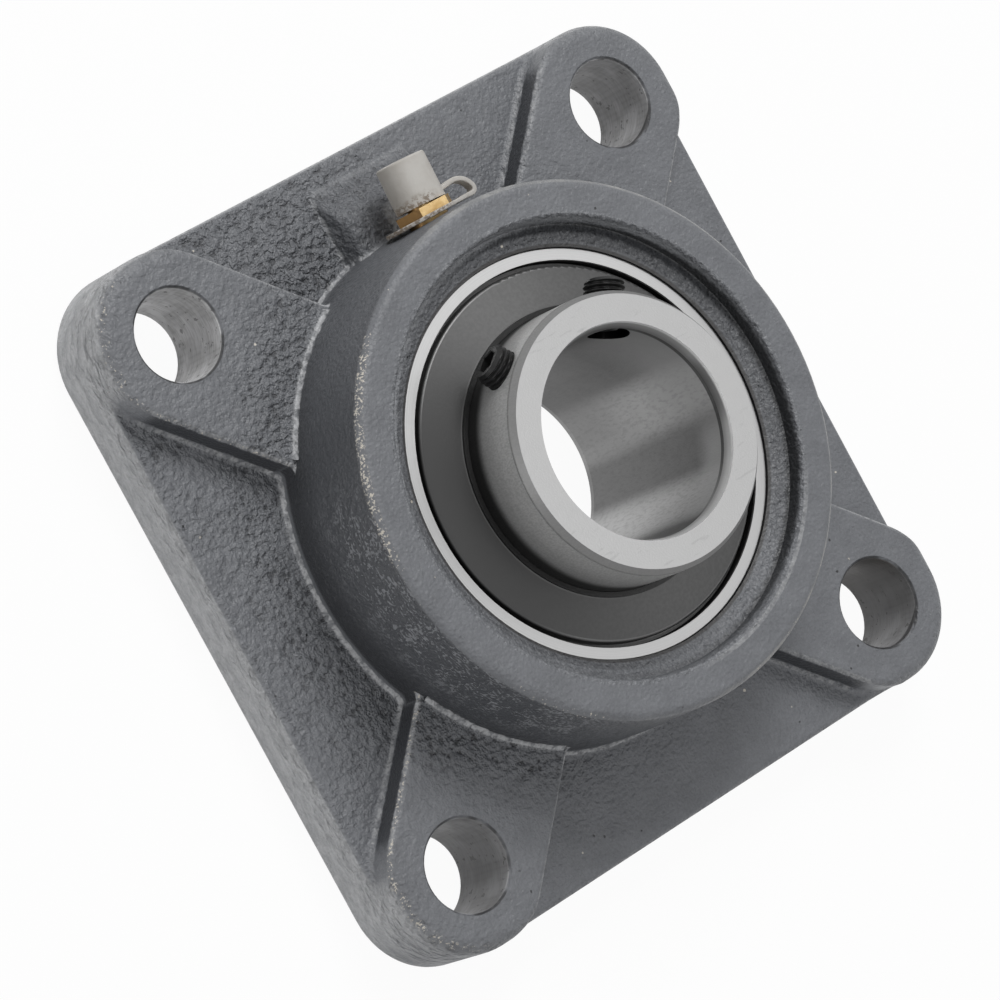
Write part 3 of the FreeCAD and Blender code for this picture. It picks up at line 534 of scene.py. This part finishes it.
def paint_colour(f, zone, noise, relief):
    """Blue-grey paint, with painted shade on what faces the -X side and between the lumps, and painted light
    and highlights on the outside walls and edges.
    """
    colour = f.blend(noise["broad"].rise(0.3, 0.75) * 0.22, PAINT, DARK_PAINT_AND_SHADE)
    # Painted shade on the floor and pads near the hub on the shaded side
    shaded = zone["floor"] * f.radius.fall(42, 47) + zone["pad"] * f.radius.fall(44, 50) * f.y.fall(-12, 4)
    shaded = shaded * f.towards(SHADED_SIDE).rise(0.6, 0.9)
    colour = f.blend(shaded * 0.2, colour, DARK_PAINT_AND_SHADE)
    colour = f.blend(zone["boss"] * 0.4, colour, DARK_PAINT_AND_SHADE)
    # Painted light on the spot face round the nipple, which lifts it out of its shade
    colour = f.blend(zone["spot_face"] * abs(f.facing[1]).fall(0.3, 0.8), colour, SPOT_FACE_PAINTED_LIGHT)

    # The hub's wall in painted shade, lighter on its lit side and darkest at its foot, with painted
    # highlights on its dashes
    dim = 0.88 - 0.4 * f.towards(HUB_LIT_SIDE).rise(0.75, 0.95)
    colour = f.blend(zone["hub_wall"] * dim, colour, DARK_PAINT_AND_SHADE)
    low = f.z.fall(12, 20) * f.towards(HUB_FOOT_SIDE).rise(0.3, 0.8)
    colour = f.blend(zone["hub_wall"] * low * 0.65, colour, DEEP_PAINTED_SHADE)
    colour = f.blend(relief["dashes"] * 0.6, colour, DASH_PAINTED_HIGHLIGHT)

    # Painted light on the outside walls, and painted highlights on edges, the hub's foot and its far rim
    lit = 1 - 0.85 * f.facing[1].fall(-0.8, -0.1)
    sides = zone["side"] * (0.68 + 0.32 * relief["ripples"].rise(0.36, 0.64)) * lit
    colour = f.blend(sides, colour, SIDE_PAINTED_LIGHT)
    beads = noise["ragged"].rise(0.36, 0.6)
    edges = zone["edge"] * (0.1 + 0.75 * beads) * (1 - 0.75 * zone["outer"])
    colour = f.blend(edges, colour, PALE_PAINT_AND_HIGHLIGHT)
    foot = zone["edge"] * f.radius.fall(HUB_RADIUS + 2, HUB_RADIUS + 2.8) * f.x.fall(-5, 10)
    colour = f.blend(foot * (0.1 + 0.6 * beads), colour, FOOT_PAINTED_HIGHLIGHT)
    far_rim = f.z.rise(HUB_HEIGHT - 1.6, HUB_HEIGHT - 1.0) * f.facing[2].band(0.2, 0.8, 0.15)
    far_rim = far_rim * f.towards(FAR_RIM_SIDE).rise(-0.35, 0.1)
    far_rim = far_rim * f.radius.rise(HUB_RADIUS - 1.5, HUB_RADIUS - 1.0)
    colour = f.blend(far_rim * (0.2 + 0.35 * noise["clumps"].rise(0.4, 0.6)), colour, RIM_PAINTED_HIGHLIGHT)

    # Painted shade on the steps, in the recess and in the hollows between the lumps
    colour = f.blend(zone["flank"] * 0.88, colour, STEP_PAINTED_SHADE)
    colour = recess_colour(f, zone, noise, colour)
    clumps = noise["broad"].rise(0.35, 0.55) + 0.6 * shaded
    hollows = relief["grain"].fall(0.34, 0.45) * relief["rough"].rise(0.3, 0.8) * clumps
    colour = f.blend(hollows * 0.62, colour, DEEP_PAINTED_SHADE)
    return f.shade(colour, 0.76 + 0.48 * noise["fine"])


def chipped(f, zone, noise, colour):
    """Chips on the hub's rim and the pads' edges, and a few flecks and pits elsewhere."""
    fine = noise["fine"]
    worn = 0.0
    for degrees, low, high, share in CHIPPED_SIDES:
        worn = f.math("MAXIMUM", f.towards(degrees).rise(low, high) * share, worn)
    rim = f.radius.band(HUB_RADIUS - 1.15, HUB_RADIUS - 0.55, 0.35)
    rim = rim * f.z.rise(HUB_HEIGHT - 1.6, HUB_HEIGHT - 1.0)
    chips = rim * (fine + 0.3 * noise["ragged"] - 0.2 * (1 - worn)).rise(0.7, 0.73)
    pad_edge = zone["edge"] * f.z.band(PAD_HEIGHT - 1.0, PAD_HEIGHT - 0.2, 0.3)
    pad_edge = pad_edge * f.facing[0].fall(-0.35, -0.1) * f.x.fall(-20, 0)
    loose = (fine + 0.2 * noise["clumps"] - 0.04 * f.y.rise(-20, 20)).rise(0.68, 0.72)
    chips = chips + pad_edge * loose
    distance, chance = f.cells(1.5)
    spot = (distance + 0.2 * fine).fall(0.2, 0.26)
    flecks = spot * chance.fall(0.012, 0.016) * (zone["top"] + zone["edge"] * 3)
    colour = f.blend(f.math("MINIMUM", chips + flecks, 1.0), colour, CHIP)
    pits = zone["top"] * spot * chance.rise(0.97, 0.975)
    return f.blend(pits, colour, PIT)


def iron_colour(f, zone, noise):
    """Drilled cast iron with lines round the hole and dark pores, with painted light and shade on the hole
    walls, darkest in the hole at +X, -Y.
    """
    # Painted light on the hole walls, lightest at -X, +Y, and a painted shadow in the hole at +X, -Y
    plus_x = f.x.rise(-20, 20)
    minus_y = f.y.fall(-20, 20)
    light = f.blend(minus_y, IRON_PAINTED_LIGHT, grey(160, blue=162))
    light = f.blend(plus_x * 0.5, light, grey(158, blue=160))
    shadow = (f.y + HALF_SPACING + 0.6 * (HALF_SPACING - f.x)).rise(-8, 2)
    light = f.blend(plus_x * minus_y * shadow, light, SHADED_IRON)
    lines = f.noise(0.35, 2.0, 0.6, place=f.join(f.x * 0.12, f.y * 0.12, f.z))
    iron = f.blend(lines.rise(0.42, 0.62) * 0.28, light, LINED_IRON)
    iron = f.blend(noise["broad"].rise(0.4, 0.7) * 0.22, iron, MOTTLED_IRON)

    # Painted shadow of a ledge just inside the mouth of the two holes at +X
    across = f.y - HALF_SPACING * (2 * f.y.rise(-1, 1) - 1)
    ahead = ((f.x - HALF_SPACING) * LEDGE_X - across * LEDGE_Y) * (1 / HOLE_EDGE)
    ledge = (f.z + 1.5 * ahead.rise(0.4, 0.98)).rise(PAD_HEIGHT - 0.15, PAD_HEIGHT + 0.1)
    iron = f.blend(ledge * f.x.rise(-5, 5) * 0.9, iron, grey(44, blue=46))
    pores = noise["ragged"].rise(0.62, 0.68) * zone["in_hole"]
    return f.blend(pores * 0.7, iron, PORE)


def housing_finish():
    """Blue-grey paint on a sand-cast skin, with bare metal where it is machined or chipped."""
    f = Finish("housing_paint")
    noise = housing_noises(f)
    zone = housing_zones(f, noise)
    relief = casting_relief(f, zone, noise)
    colour = chipped(f, zone, noise, paint_colour(f, zone, noise, relief))
    colour = f.blend(zone["bare"], colour, iron_colour(f, zone, noise))

    # Dark line at the holes' mouths, and the seam round the seat's edge
    edge = zone["from_bolt"].band(HOLE_EDGE - 0.3, HOLE_EDGE - 0.1, 0.12)
    colour = f.blend(edge * noise["broad"].rise(0.4, 0.55) * 0.85, colour, grey(34, blue=35))
    seam = f.radius.band(SEAT_RADIUS - 1.5, SEAT_RADIUS - 0.2, 0.2)
    seam = seam * f.z.band(SEAT_FRONT - 0.4, SEAT_FRONT + 0.1, 0.1)
    colour = f.blend(seam * 0.85, colour, SEAM)
    # Painted shade: the recess's dark corner is made partly metallic, so that it gives back less light
    dull = zone["recess_corner"] * f.towards(BAND_DULLEST).rise(0.3, 0.75)
    f.feed(f.shader.inputs["Metallic"], dull * f.z.fall(RECESS_FLOOR - 0.1, RECESS_FLOOR))
    return f.done(colour, 0.4 + 0.16 * noise["clumps"])


def steel_finish(name, colour, roughness, line_size, line_height):
    """Ground steel with fine lines round the shaft axis."""
    f = Finish(name, metallic=1.0)
    f.raise_by(f.noise(line_size, 1.0, place=f.join(f.radius, 0.0, f.z)), line_height)
    colour = f.shade(colour, 0.92 + 0.16 * f.noise(6.0, 2.0))
    return f.done(colour, roughness + 0.1 * f.noise(2.0, 2.0))


def outer_ring_finish():
    """Ground steel, bright on the face with painted light towards the nipple's side, and in painted shade in
    the seal's seat.
    """
    f = Finish("outer_ring_steel", metallic=1.0)
    f.raise_by(f.noise(0.3, 1.0, place=f.join(f.radius, 0.0, f.z)), 0.01)
    lines = f.noise(0.16, 1.0, place=f.join(f.radius, 0.0, 0.0)).rise(0.4, 0.6)
    # Painted light on the face, brightest towards the nipple's side
    bright = f.blend(f.towards(NIPPLE_SIDE).rise(0.0, 0.8), grey(182), grey(194))
    bright = f.blend(lines * 0.14, bright, grey(148))
    # Painted shade in the seal's seat
    seat = f.radius.fall(SHIELD_SEAT_RADIUS + 0.3, SHIELD_SEAT_RADIUS + 0.4)
    seat = seat * f.facing[2].fall(0.4, 0.8) * f.z.fall(SEAT_FRONT - 0.9, SEAT_FRONT - 0.8)
    return f.done(f.blend(seat, bright, grey(10)), 0.32 + 0.1 * f.noise(2.0, 2.0))


def ring_outside_colour(f, fine):
    """Dull outside of the inner ring, with painted light up its height and towards one side, painted shade
    at its foot, its darker chamfer and a line round it.
    """
    upper = f.blend(f.towards(125).rise(0.6, 0.95), grey(196, blue=195), grey(206, blue=205))
    colour = f.blend(f.z.rise(29, 37), grey(158), upper)
    colour = f.blend(fine.rise(0.3, 0.7) * 0.35, colour, grey(120))
    colour = f.blend(f.z.fall(RING_FOOT_TOP - 2.2, RING_FOOT_TOP) * 0.95, colour, grey(18))
    colour = f.blend(f.facing[2].band(0.2, 0.85, 0.05) * 0.85, colour, grey(106))
    return f.blend(f.z.band(RING_LINE - 0.25, RING_LINE, 0.12) * 0.5, colour, grey(90))


def bore_colour(f):
    """Honed bore with painted reflections as bright and dull streaks along it, and its mouth with painted
    highlights and shade.
    """
    # Painted reflections as streaks over the whole height, scratches, and painted reflections as streaks
    # over a part of it
    colour = f.blend(f.towards(330).rise(0.35, 0.9) * 0.3, grey(108), grey(152))
    colour = f.blend(f.towards(302).rise(0.93, 1.0), colour, grey(196))
    colour = f.blend(f.towards(4).rise(0.93, 1.0), colour, grey(172))
    scratches = f.noise(0.4, 2.0, place=f.join(f.x, f.y, f.z * 0.35))
    colour = f.blend(scratches.rise(0.45, 0.7) * 0.2, colour, grey(90))
    colour = f.blend(f.towards(38).rise(0.8, 0.97) * f.z.rise(22, 36) * 0.6, colour, grey(176))
    colour = f.blend(f.towards(10).rise(0.9, 1.0) * f.z.fall(8, 24) * 0.6, colour, grey(112))
    colour = f.blend(f.towards(315).rise(0.8, 1.0) * f.z.rise(31, 36) * 0.5, colour, grey(206))

    # Painted highlights and shade on the lead-in at the mouth, and a dark line below it in painted shade
    mouth = f.blend(f.towards(280).rise(0.3, 1.0), grey(172), grey(240))
    mouth = f.blend(f.towards(FAR_SIDE).rise(0.93, 1.0), mouth, grey(130))
    mouth = f.blend(f.z.fall(LEAD_IN_START, LEAD_IN_START + 1.0) * 0.35, mouth, grey(20))
    mouth = f.blend(f.z.rise(LEAD_IN_START + 1.0, LEAD_IN_START + 1.4) * 0.8, mouth, grey(250))
    colour = f.blend(f.z.rise(LEAD_IN_START - 0.2, LEAD_IN_START), colour, mouth)
    line = f.z.band(LEAD_IN_START - 0.7, LEAD_IN_START - 0.1, 0.15)
    return f.blend(line * (0.3 + 0.45 * f.towards(5).rise(0.3, 0.8)), colour, grey(30))


def inner_ring_finish():
    """Ground steel: a bright face with darker edges, a duller outside with painted light and shade, and a
    honed bore with painted reflections.
    """
    f = Finish("inner_ring_steel")
    upward = f.facing[2]
    face = upward.rise(0.9, 0.98)
    bore = f.radius.fall(BORE_RADIUS + 1.0, BORE_RADIUS + 1.4) * (1 - face)
    fine = f.noise(0.25, 2.0, 0.6, place=f.join(f.x, f.y, f.z * 0.5))
    f.raise_by(fine, 0.03)
    marks = f.noise(0.5, 2.0, place=f.join(f.x * 0.15, f.y, f.z)).rise(0.6, 0.66)
    bright = f.blend(marks * f.noise(5.0, 1.0).rise(0.5, 0.6) * 0.35, grey(172), grey(146))
    colour = f.blend(face, ring_outside_colour(f, fine), bright)
    colour = f.blend(upward.band(0.88, 0.985, 0.01), colour, grey(120))
    colour = f.blend(bore, colour, bore_colour(f))
    # Painted shade in the two screw holes
    colour = f.blend(screw_holes(f), colour, grey(16))
    f.feed(f.shader.inputs["Metallic"], 0.45 + 0.55 * f.math("MAXIMUM", face, bore))
    return f.done(colour, 0.38 + 0.1 * bore + 0.08 * f.noise(2.0, 2.0))


def screw_holes(f):
    """1 on the walls of the inner ring's two screw holes."""
    level = f.z.band(SCREW_HEIGHT - SCREW_HOLE_RADIUS, SCREW_HEIGHT + SCREW_HOLE_RADIUS, 0.01)
    within = f.radius.band(BORE_RADIUS + 0.05, INNER_RADIUS - 0.1, 0.05)
    beside = []
    for angle in SCREW_ANGLES:
        across = abs(f.x * math.sin(angle) - f.y * math.cos(angle))
        ahead = f.x * math.cos(angle) + f.y * math.sin(angle)
        beside.append(across.fall(SCREW_HOLE_RADIUS - 0.02, SCREW_HOLE_RADIUS) * ahead.rise(0.0, 1.0))
    return f.math("MAXIMUM", *beside) * level * within


def shield_finish():
    """Satin dark steel in painted shade on the -X side, with the groove at the outer rim in deep painted
    shade, and painted highlights at its inner edge and rim.
    """
    f = Finish("shield_steel", metallic=0.85)
    # Painted shade on the -X side
    colour = f.blend(f.towards(NEAR_SIDE).rise(-0.2, 1.0) * 0.62, grey(92), grey(20))
    colour = f.blend(f.noise(0.5, 2.0).rise(0.3, 0.7) * 0.2, colour, grey(60))
    # Deep painted shade in the groove at the outer rim
    groove = f.radius.rise(SHIELD_SEAT_RADIUS - 0.2, SHIELD_SEAT_RADIUS - 0.12)
    colour = f.blend(groove, colour, grey(4))
    # Painted highlight at the inner edge
    inner_edge = f.radius.fall(SHIELD_BORE_RADIUS + 0.1, SHIELD_BORE_RADIUS + 0.3)
    colour = f.blend(inner_edge * 0.6, colour, grey(84))
    # Painted highlight on the rim, away from the -X side
    rim = f.radius.band(SHIELD_SEAT_RADIUS - 1.1, SHIELD_SEAT_RADIUS - 0.6, 0.1)
    colour = f.blend(rim * f.towards(185).fall(0.6, 0.9) * 0.3, colour, grey(130))
    f.raise_by(f.noise(0.4, 2.0), 0.01)
    return f.done(colour, 0.4 + 0.06 * f.noise(1.0, 2.0))


def dull_finish(name, colour, spotted, roughness, metallic=0.0):
    """Plain coating or rubber with slight mottling and a fine grain."""
    f = Finish(name, metallic=metallic)
    f.raise_by(f.noise(0.4, 2.0), 0.04)
    tone = f.noise(2.5, 2.0).rise(0.35, 0.7)
    return f.done(f.blend(tone, colour, spotted), roughness + 0.1 * f.noise(1.0, 1.0))


def brass_finish():
    """Turned brass, dull, with painted shade on the flats that face the -X side."""
    f = Finish("nipple_brass", metallic=0.85)
    f.raise_by(f.noise(0.4, 2.0), 0.03)
    tone = f.blend(f.noise(1.5, 2.0).rise(0.35, 0.7), linear(198, 172, 126), linear(176, 146, 98))
    colour = f.blend(f.facing[0].fall(-0.9, -0.4), tone, linear(128, 100, 64))
    return f.done(colour, 0.34 + 0.1 * f.noise(1.0, 1.0))


def cap_finish():
    """Pale warm grey plastic with painted shade on what faces -X, soiled and rubbed brown towards the base
    on the -X side.
    """
    f = Finish("cap_plastic")
    f.raise_by(f.noise(0.4, 2.0), 0.03)
    tone = f.blend(f.noise(2.5, 2.0).rise(0.35, 0.7), linear(190, 187, 182), linear(180, 176, 170))
    # Painted shade on what faces -X
    tone = f.blend(f.facing[0].fall(-1.0, -0.5) * 0.5, tone, linear(132, 126, 118))
    low = f.y + 1.2 * f.noise(0.9, 2.0)
    soiled = low.fall(SOILED_TO - 1.4, SOILED_TO) * f.x.fall(-1.0, 1.5)
    soiled = soiled * f.noise(0.5, 2.0, 0.6).rise(0.42, 0.56)
    colour = f.blend(soiled * 0.8, tone, linear(104, 88, 70))
    return f.done(colour, 0.5 + 0.1 * f.noise(1.0, 1.0))


def paint_node(name, material):
    """Gives a CAD node its material."""
    slots = nodes[name].data.materials
    slots.clear()
    slots.append(material)


def mesh_object(name, points, faces, material):
    """Mesh object from points in millimetres."""
    mesh = bpy.data.meshes.new(name)
    mesh.from_pydata([tuple(Vector(p) * MM) for p in points], [], faces)
    mesh.validate()
    mesh.shade_smooth()
    mesh.set_sharp_from_angle(angle=math.radians(SHARP_ANGLE))
    mesh.materials.append(material)
    made = bpy.data.objects.new(name, mesh)
    bpy.context.scene.collection.objects.link(made)
    return made


def stacked_rings(rows, sides):
    """Faces that join rows of points, with one centre point at each end."""
    faces = []
    first = len(rows) * sides
    for row in range(len(rows) - 1):
        for k in range(sides):
            a = row * sides + k
            b = row * sides + (k + 1) % sides
            faces.append((a, b, b + sides, a + sides))
    last = (len(rows) - 1) * sides
    for k in range(sides):
        faces.append((first, (k + 1) % sides, k))
        faces.append((first + 1, last + k, last + (k + 1) % sides))
    return faces


def screw_profile(length, radius, along, turn):
    """Radius of the threaded screw at a distance from its tip and a part of a turn."""
    phase = (along / THREAD_PITCH - turn) % 1
    from_crest = abs(2 * phase - 1)
    depth = min(1, max(0, (from_crest - THREAD_CREST) / THREAD_FLANK)) * THREAD_DEPTH
    chamfered = radius - max(0, along - (length - SCREW_CHAMFER))
    cupped = CUP_RADIUS + along
    return min(radius - depth, chamfered, cupped)


def set_screw(index):
    """Threaded socket set screw in place of its plain CAD node."""
    node = "set_screw_%d" % index
    axis = Vector(joints[node + "_travel"]["axis"])
    spread = [v.co.dot(axis) / MM for v in nodes[node].data.vertices]
    tip, head = min(spread), max(spread)
    low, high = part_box(node)
    radius = (high.z - low.z) / 2 / MM
    height = (high.z + low.z) / 2 / MM
    length = head - tip
    count = round(length / THREAD_PITCH * ROWS_PER_TURN)
    side_axis = axis.cross(Vector((0, 0, 1)))

    def point(along, distance, turn):
        angle = math.tau * turn
        across = side_axis * math.cos(angle) + Vector((0, 0, 1)) * math.sin(angle)
        return axis * (tip + along) + across * distance + Vector((0, 0, height))

    def socket_radius(turn):
        from_flat = (turn * 6 % 1 - 0.5) * math.tau / 6
        return SOCKET_FLATS / 2 / math.cos(from_flat)

    turns = [k / SCREW_SIDES for k in range(SCREW_SIDES)]
    rows = []
    for row in range(count + 1):
        along = length * row / count
        rows.append([point(along, screw_profile(length, radius, along, t), t) for t in turns])
    for scale, drop in ((SOCKET_MOUTH_SCALE, 0.0), (1.0, SOCKET_MOUTH_DEPTH), (1.0, SOCKET_DEPTH)):
        rows.append([point(length - drop, socket_radius(t) * scale, t) for t in turns])
    points = [p for row in rows for p in row]
    points.append(point(CUP_RADIUS / 2, 0, 0))
    points.append(point(length - SOCKET_DEPTH - SOCKET_POINT_DEPTH, 0, 0))
    made = mesh_object(node + "_threaded", points, stacked_rings(rows, SCREW_SIDES), materials["screw"])
    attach(made, node)
    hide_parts(node)


def rounded_box(width, height, edge):
    """Outline of a box with rounded corners about its centre, as (across, up) pairs."""
    outline = []
    for quarter, (side, end) in enumerate(((1, 1), (-1, 1), (-1, -1), (1, -1))):
        for step in range(CORNER_STEPS + 1):
            angle = math.pi / 2 * (quarter + step / CORNER_STEPS)
            outline.append((side * (width / 2 - edge) + edge * math.cos(angle),
                            end * (height / 2 - edge) + edge * math.sin(angle)))
    return outline


def tube_faces(first, rows, sides, closed):
    """Faces round a tube of rows of points from a first one, closed on itself or with both ends capped."""
    faces = []
    for row in range(rows if closed else rows - 1):
        a = first + row * sides
        b = first + (row + 1) % rows * sides
        for k in range(sides):
            n = (k + 1) % sides
            faces.append((a + k, a + n, b + n, b + k))
    if not closed:
        last = first + (rows - 1) * sides
        faces.append(tuple(first + k for k in reversed(range(sides))))
        faces.append(tuple(last + k for k in range(sides)))
    return faces


def strap_line():
    """Points along the strap's centre line, each with the direction that is up from it."""
    line = [(STRAP_START, (0.0, 1.0))]
    for centre, radius, first, last in STRAP_BENDS:
        steps = round((last - first) / STRAP_STEP)
        for step in range(steps + 1):
            angle = math.radians(first + (last - first) * step / steps)
            inwards = (-math.cos(angle), -math.sin(angle))
            place = (centre[0] - radius * inwards[0], centre[1] - radius * inwards[1])
            line.append((place, inwards))
    line.append((STRAP_END, line[-1][1]))
    return line


def cap_strap():
    """Ring and strap of the cap in one moulding, in place of their plain CAD node."""
    points = []
    ring = rounded_box(TIE_OUTER_RADIUS - TIE_INNER_RADIUS, TIE_TOP - TIE_BOTTOM, TIE_EDGE)
    middle = (TIE_OUTER_RADIUS + TIE_INNER_RADIUS) / 2
    for k in range(TIE_SIDES):
        angle = math.tau * k / TIE_SIDES
        for across, up in ring:
            points.append((math.cos(angle) * (middle + across), (TIE_BOTTOM + TIE_TOP) / 2 + up,
                           NIPPLE_HEIGHT + math.sin(angle) * (middle + across)))
    faces = tube_faces(0, TIE_SIDES, len(ring), True)
    first = len(points)
    ribbon = rounded_box(STRAP_WIDTH, STRAP_THICKNESS, STRAP_EDGE)
    line = strap_line()
    for (x, y), up in line:
        for across, rise in ribbon:
            points.append((x + up[0] * rise, y + up[1] * rise, NIPPLE_HEIGHT + across))
    faces += tube_faces(first, len(line), len(ribbon), False)
    made = mesh_object("cap_strap", points, faces, materials["plastic"])
    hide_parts("cap_tether")
    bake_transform(made)


def area_lamp(name, place, width, power):
    """Square soft lamp that points at the part."""
    data = bpy.data.lights.new(name, "AREA")
    data.size = width * MM
    data.energy = power
    lamp = bpy.data.objects.new(name, data)
    bpy.context.scene.collection.objects.link(lamp)
    lamp.location = Vector(place) * MM
    target = Vector((0, 0, HUB_HEIGHT / 2)) * MM
    lamp.rotation_euler = (target - lamp.location).to_track_quat("-Z", "Y").to_euler()


def seen_directly(tree):
    """1 for camera, glossy and transmission rays, in a node tree."""
    path = tree.nodes.new("ShaderNodeLightPath")
    total = path.outputs["Is Camera Ray"]
    for name in ("Is Glossy Ray", "Is Transmission Ray"):
        made = tree.nodes.new("ShaderNodeMath")
        made.operation = "MAXIMUM"
        tree.links.new(total, made.inputs[0])
        tree.links.new(path.outputs[name], made.inputs[1])
        total = made.outputs[0]
    return total


def studio():
    """White world, pale floor and soft lamps."""
    scene = bpy.context.scene
    world = bpy.data.worlds.new("studio")
    world.use_nodes = True
    scene.world = world
    tree = world.node_tree
    background = tree.nodes["Background"]
    background.inputs["Color"].default_value = (1, 1, 1, 1)
    level = tree.nodes.new("ShaderNodeMapRange")
    level.inputs["To Min"].default_value = SKY_LEVEL
    level.inputs["To Max"].default_value = 1.0
    tree.links.new(seen_directly(tree), level.inputs["Value"])
    tree.links.new(level.outputs["Result"], background.inputs["Strength"])

    half = FLOOR_WIDTH / 2
    corners = [(x * half, y * half, -FLOOR_GAP) for x, y in ((-1, -1), (1, -1), (1, 1), (-1, 1))]
    material = bpy.data.materials.new("floor")
    material.use_nodes = True
    tree = material.node_tree
    shader = tree.nodes["Principled BSDF"]
    shader.inputs["Base Color"].default_value = FLOOR_GREY
    shader.inputs["Roughness"].default_value = FLOOR_ROUGHNESS
    glow = tree.nodes.new("ShaderNodeEmission")
    glow.inputs["Strength"].default_value = 1.0
    share = tree.nodes.new("ShaderNodeMath")
    share.operation = "MULTIPLY"
    share.inputs[1].default_value = FLOOR_WHITE
    tree.links.new(seen_directly(tree), share.inputs[0])
    mixed = tree.nodes.new("ShaderNodeMixShader")
    tree.links.new(share.outputs[0], mixed.inputs["Fac"])
    tree.links.new(shader.outputs[0], mixed.inputs[1])
    tree.links.new(glow.outputs[0], mixed.inputs[2])
    tree.links.new(mixed.outputs[0], tree.nodes["Material Output"].inputs["Surface"])
    floor = mesh_object("floor", corners, [(0, 1, 2, 3)], material)

    for lamp in LAMPS:
        area_lamp(*lamp)
    scene.view_settings.view_transform = "Standard"


def camera():
    """Camera where the photographer stood."""
    data = bpy.data.cameras.new("camera")
    data.lens = LENS
    data.clip_start = CLIP_START_M
    made = bpy.data.objects.new("camera", data)
    bpy.context.scene.collection.objects.link(made)
    right = CAMERA_LOOK.cross(CAMERA_UP)
    turn = Matrix((right, CAMERA_UP, -CAMERA_LOOK)).transposed()
    made.matrix_world = Matrix.Translation(CAMERA_PLACE * MM) @ turn.to_4x4()
    bpy.context.scene.camera = made


materials = {
    "housing": housing_finish(),
    "outer_ring": outer_ring_finish(),
    "inner_ring": inner_ring_finish(),
    "ball": steel_finish("ball_steel", grey(225, blue=226), 0.1, 1.5, 0.001),
    "cage": dull_finish("cage_steel", linear(165, 161, 152), linear(150, 146, 138), 0.32, metallic=1.0),
    "shield": shield_finish(),
    "rubber": dull_finish("seal_rubber", grey(20), grey(15), 0.42),
    "screw": dull_finish("screw_steel", grey(40), grey(24), 0.34, metallic=0.6),
    "brass": brass_finish(),
    "spring": steel_finish("spring_steel", grey(160), 0.3, 0.4, 0.002),
    "plastic": cap_finish(),
}
finish_of = {
    "housing": "housing", "outer_ring": "outer_ring", "inner_ring": "inner_ring",
    "cage_front": "cage", "cage_rear": "cage", "cage_rivets": "cage",
    "shield_front": "shield", "shield_rear": "shield",
    "seal_lip_front": "rubber", "seal_lip_rear": "rubber",
    "set_screw_1": "screw", "set_screw_2": "screw",
    "nipple_body": "brass", "nipple_check_ball": "ball", "nipple_spring": "spring",
    "nipple_cap": "plastic", "cap_tether": "plastic",
}
for node in nodes:
    paint_node(node, materials["ball" if node.startswith("ball_") else finish_of[node]])

for index in (1, 2):
    set_screw(index)
cap_strap()

studio()
camera()
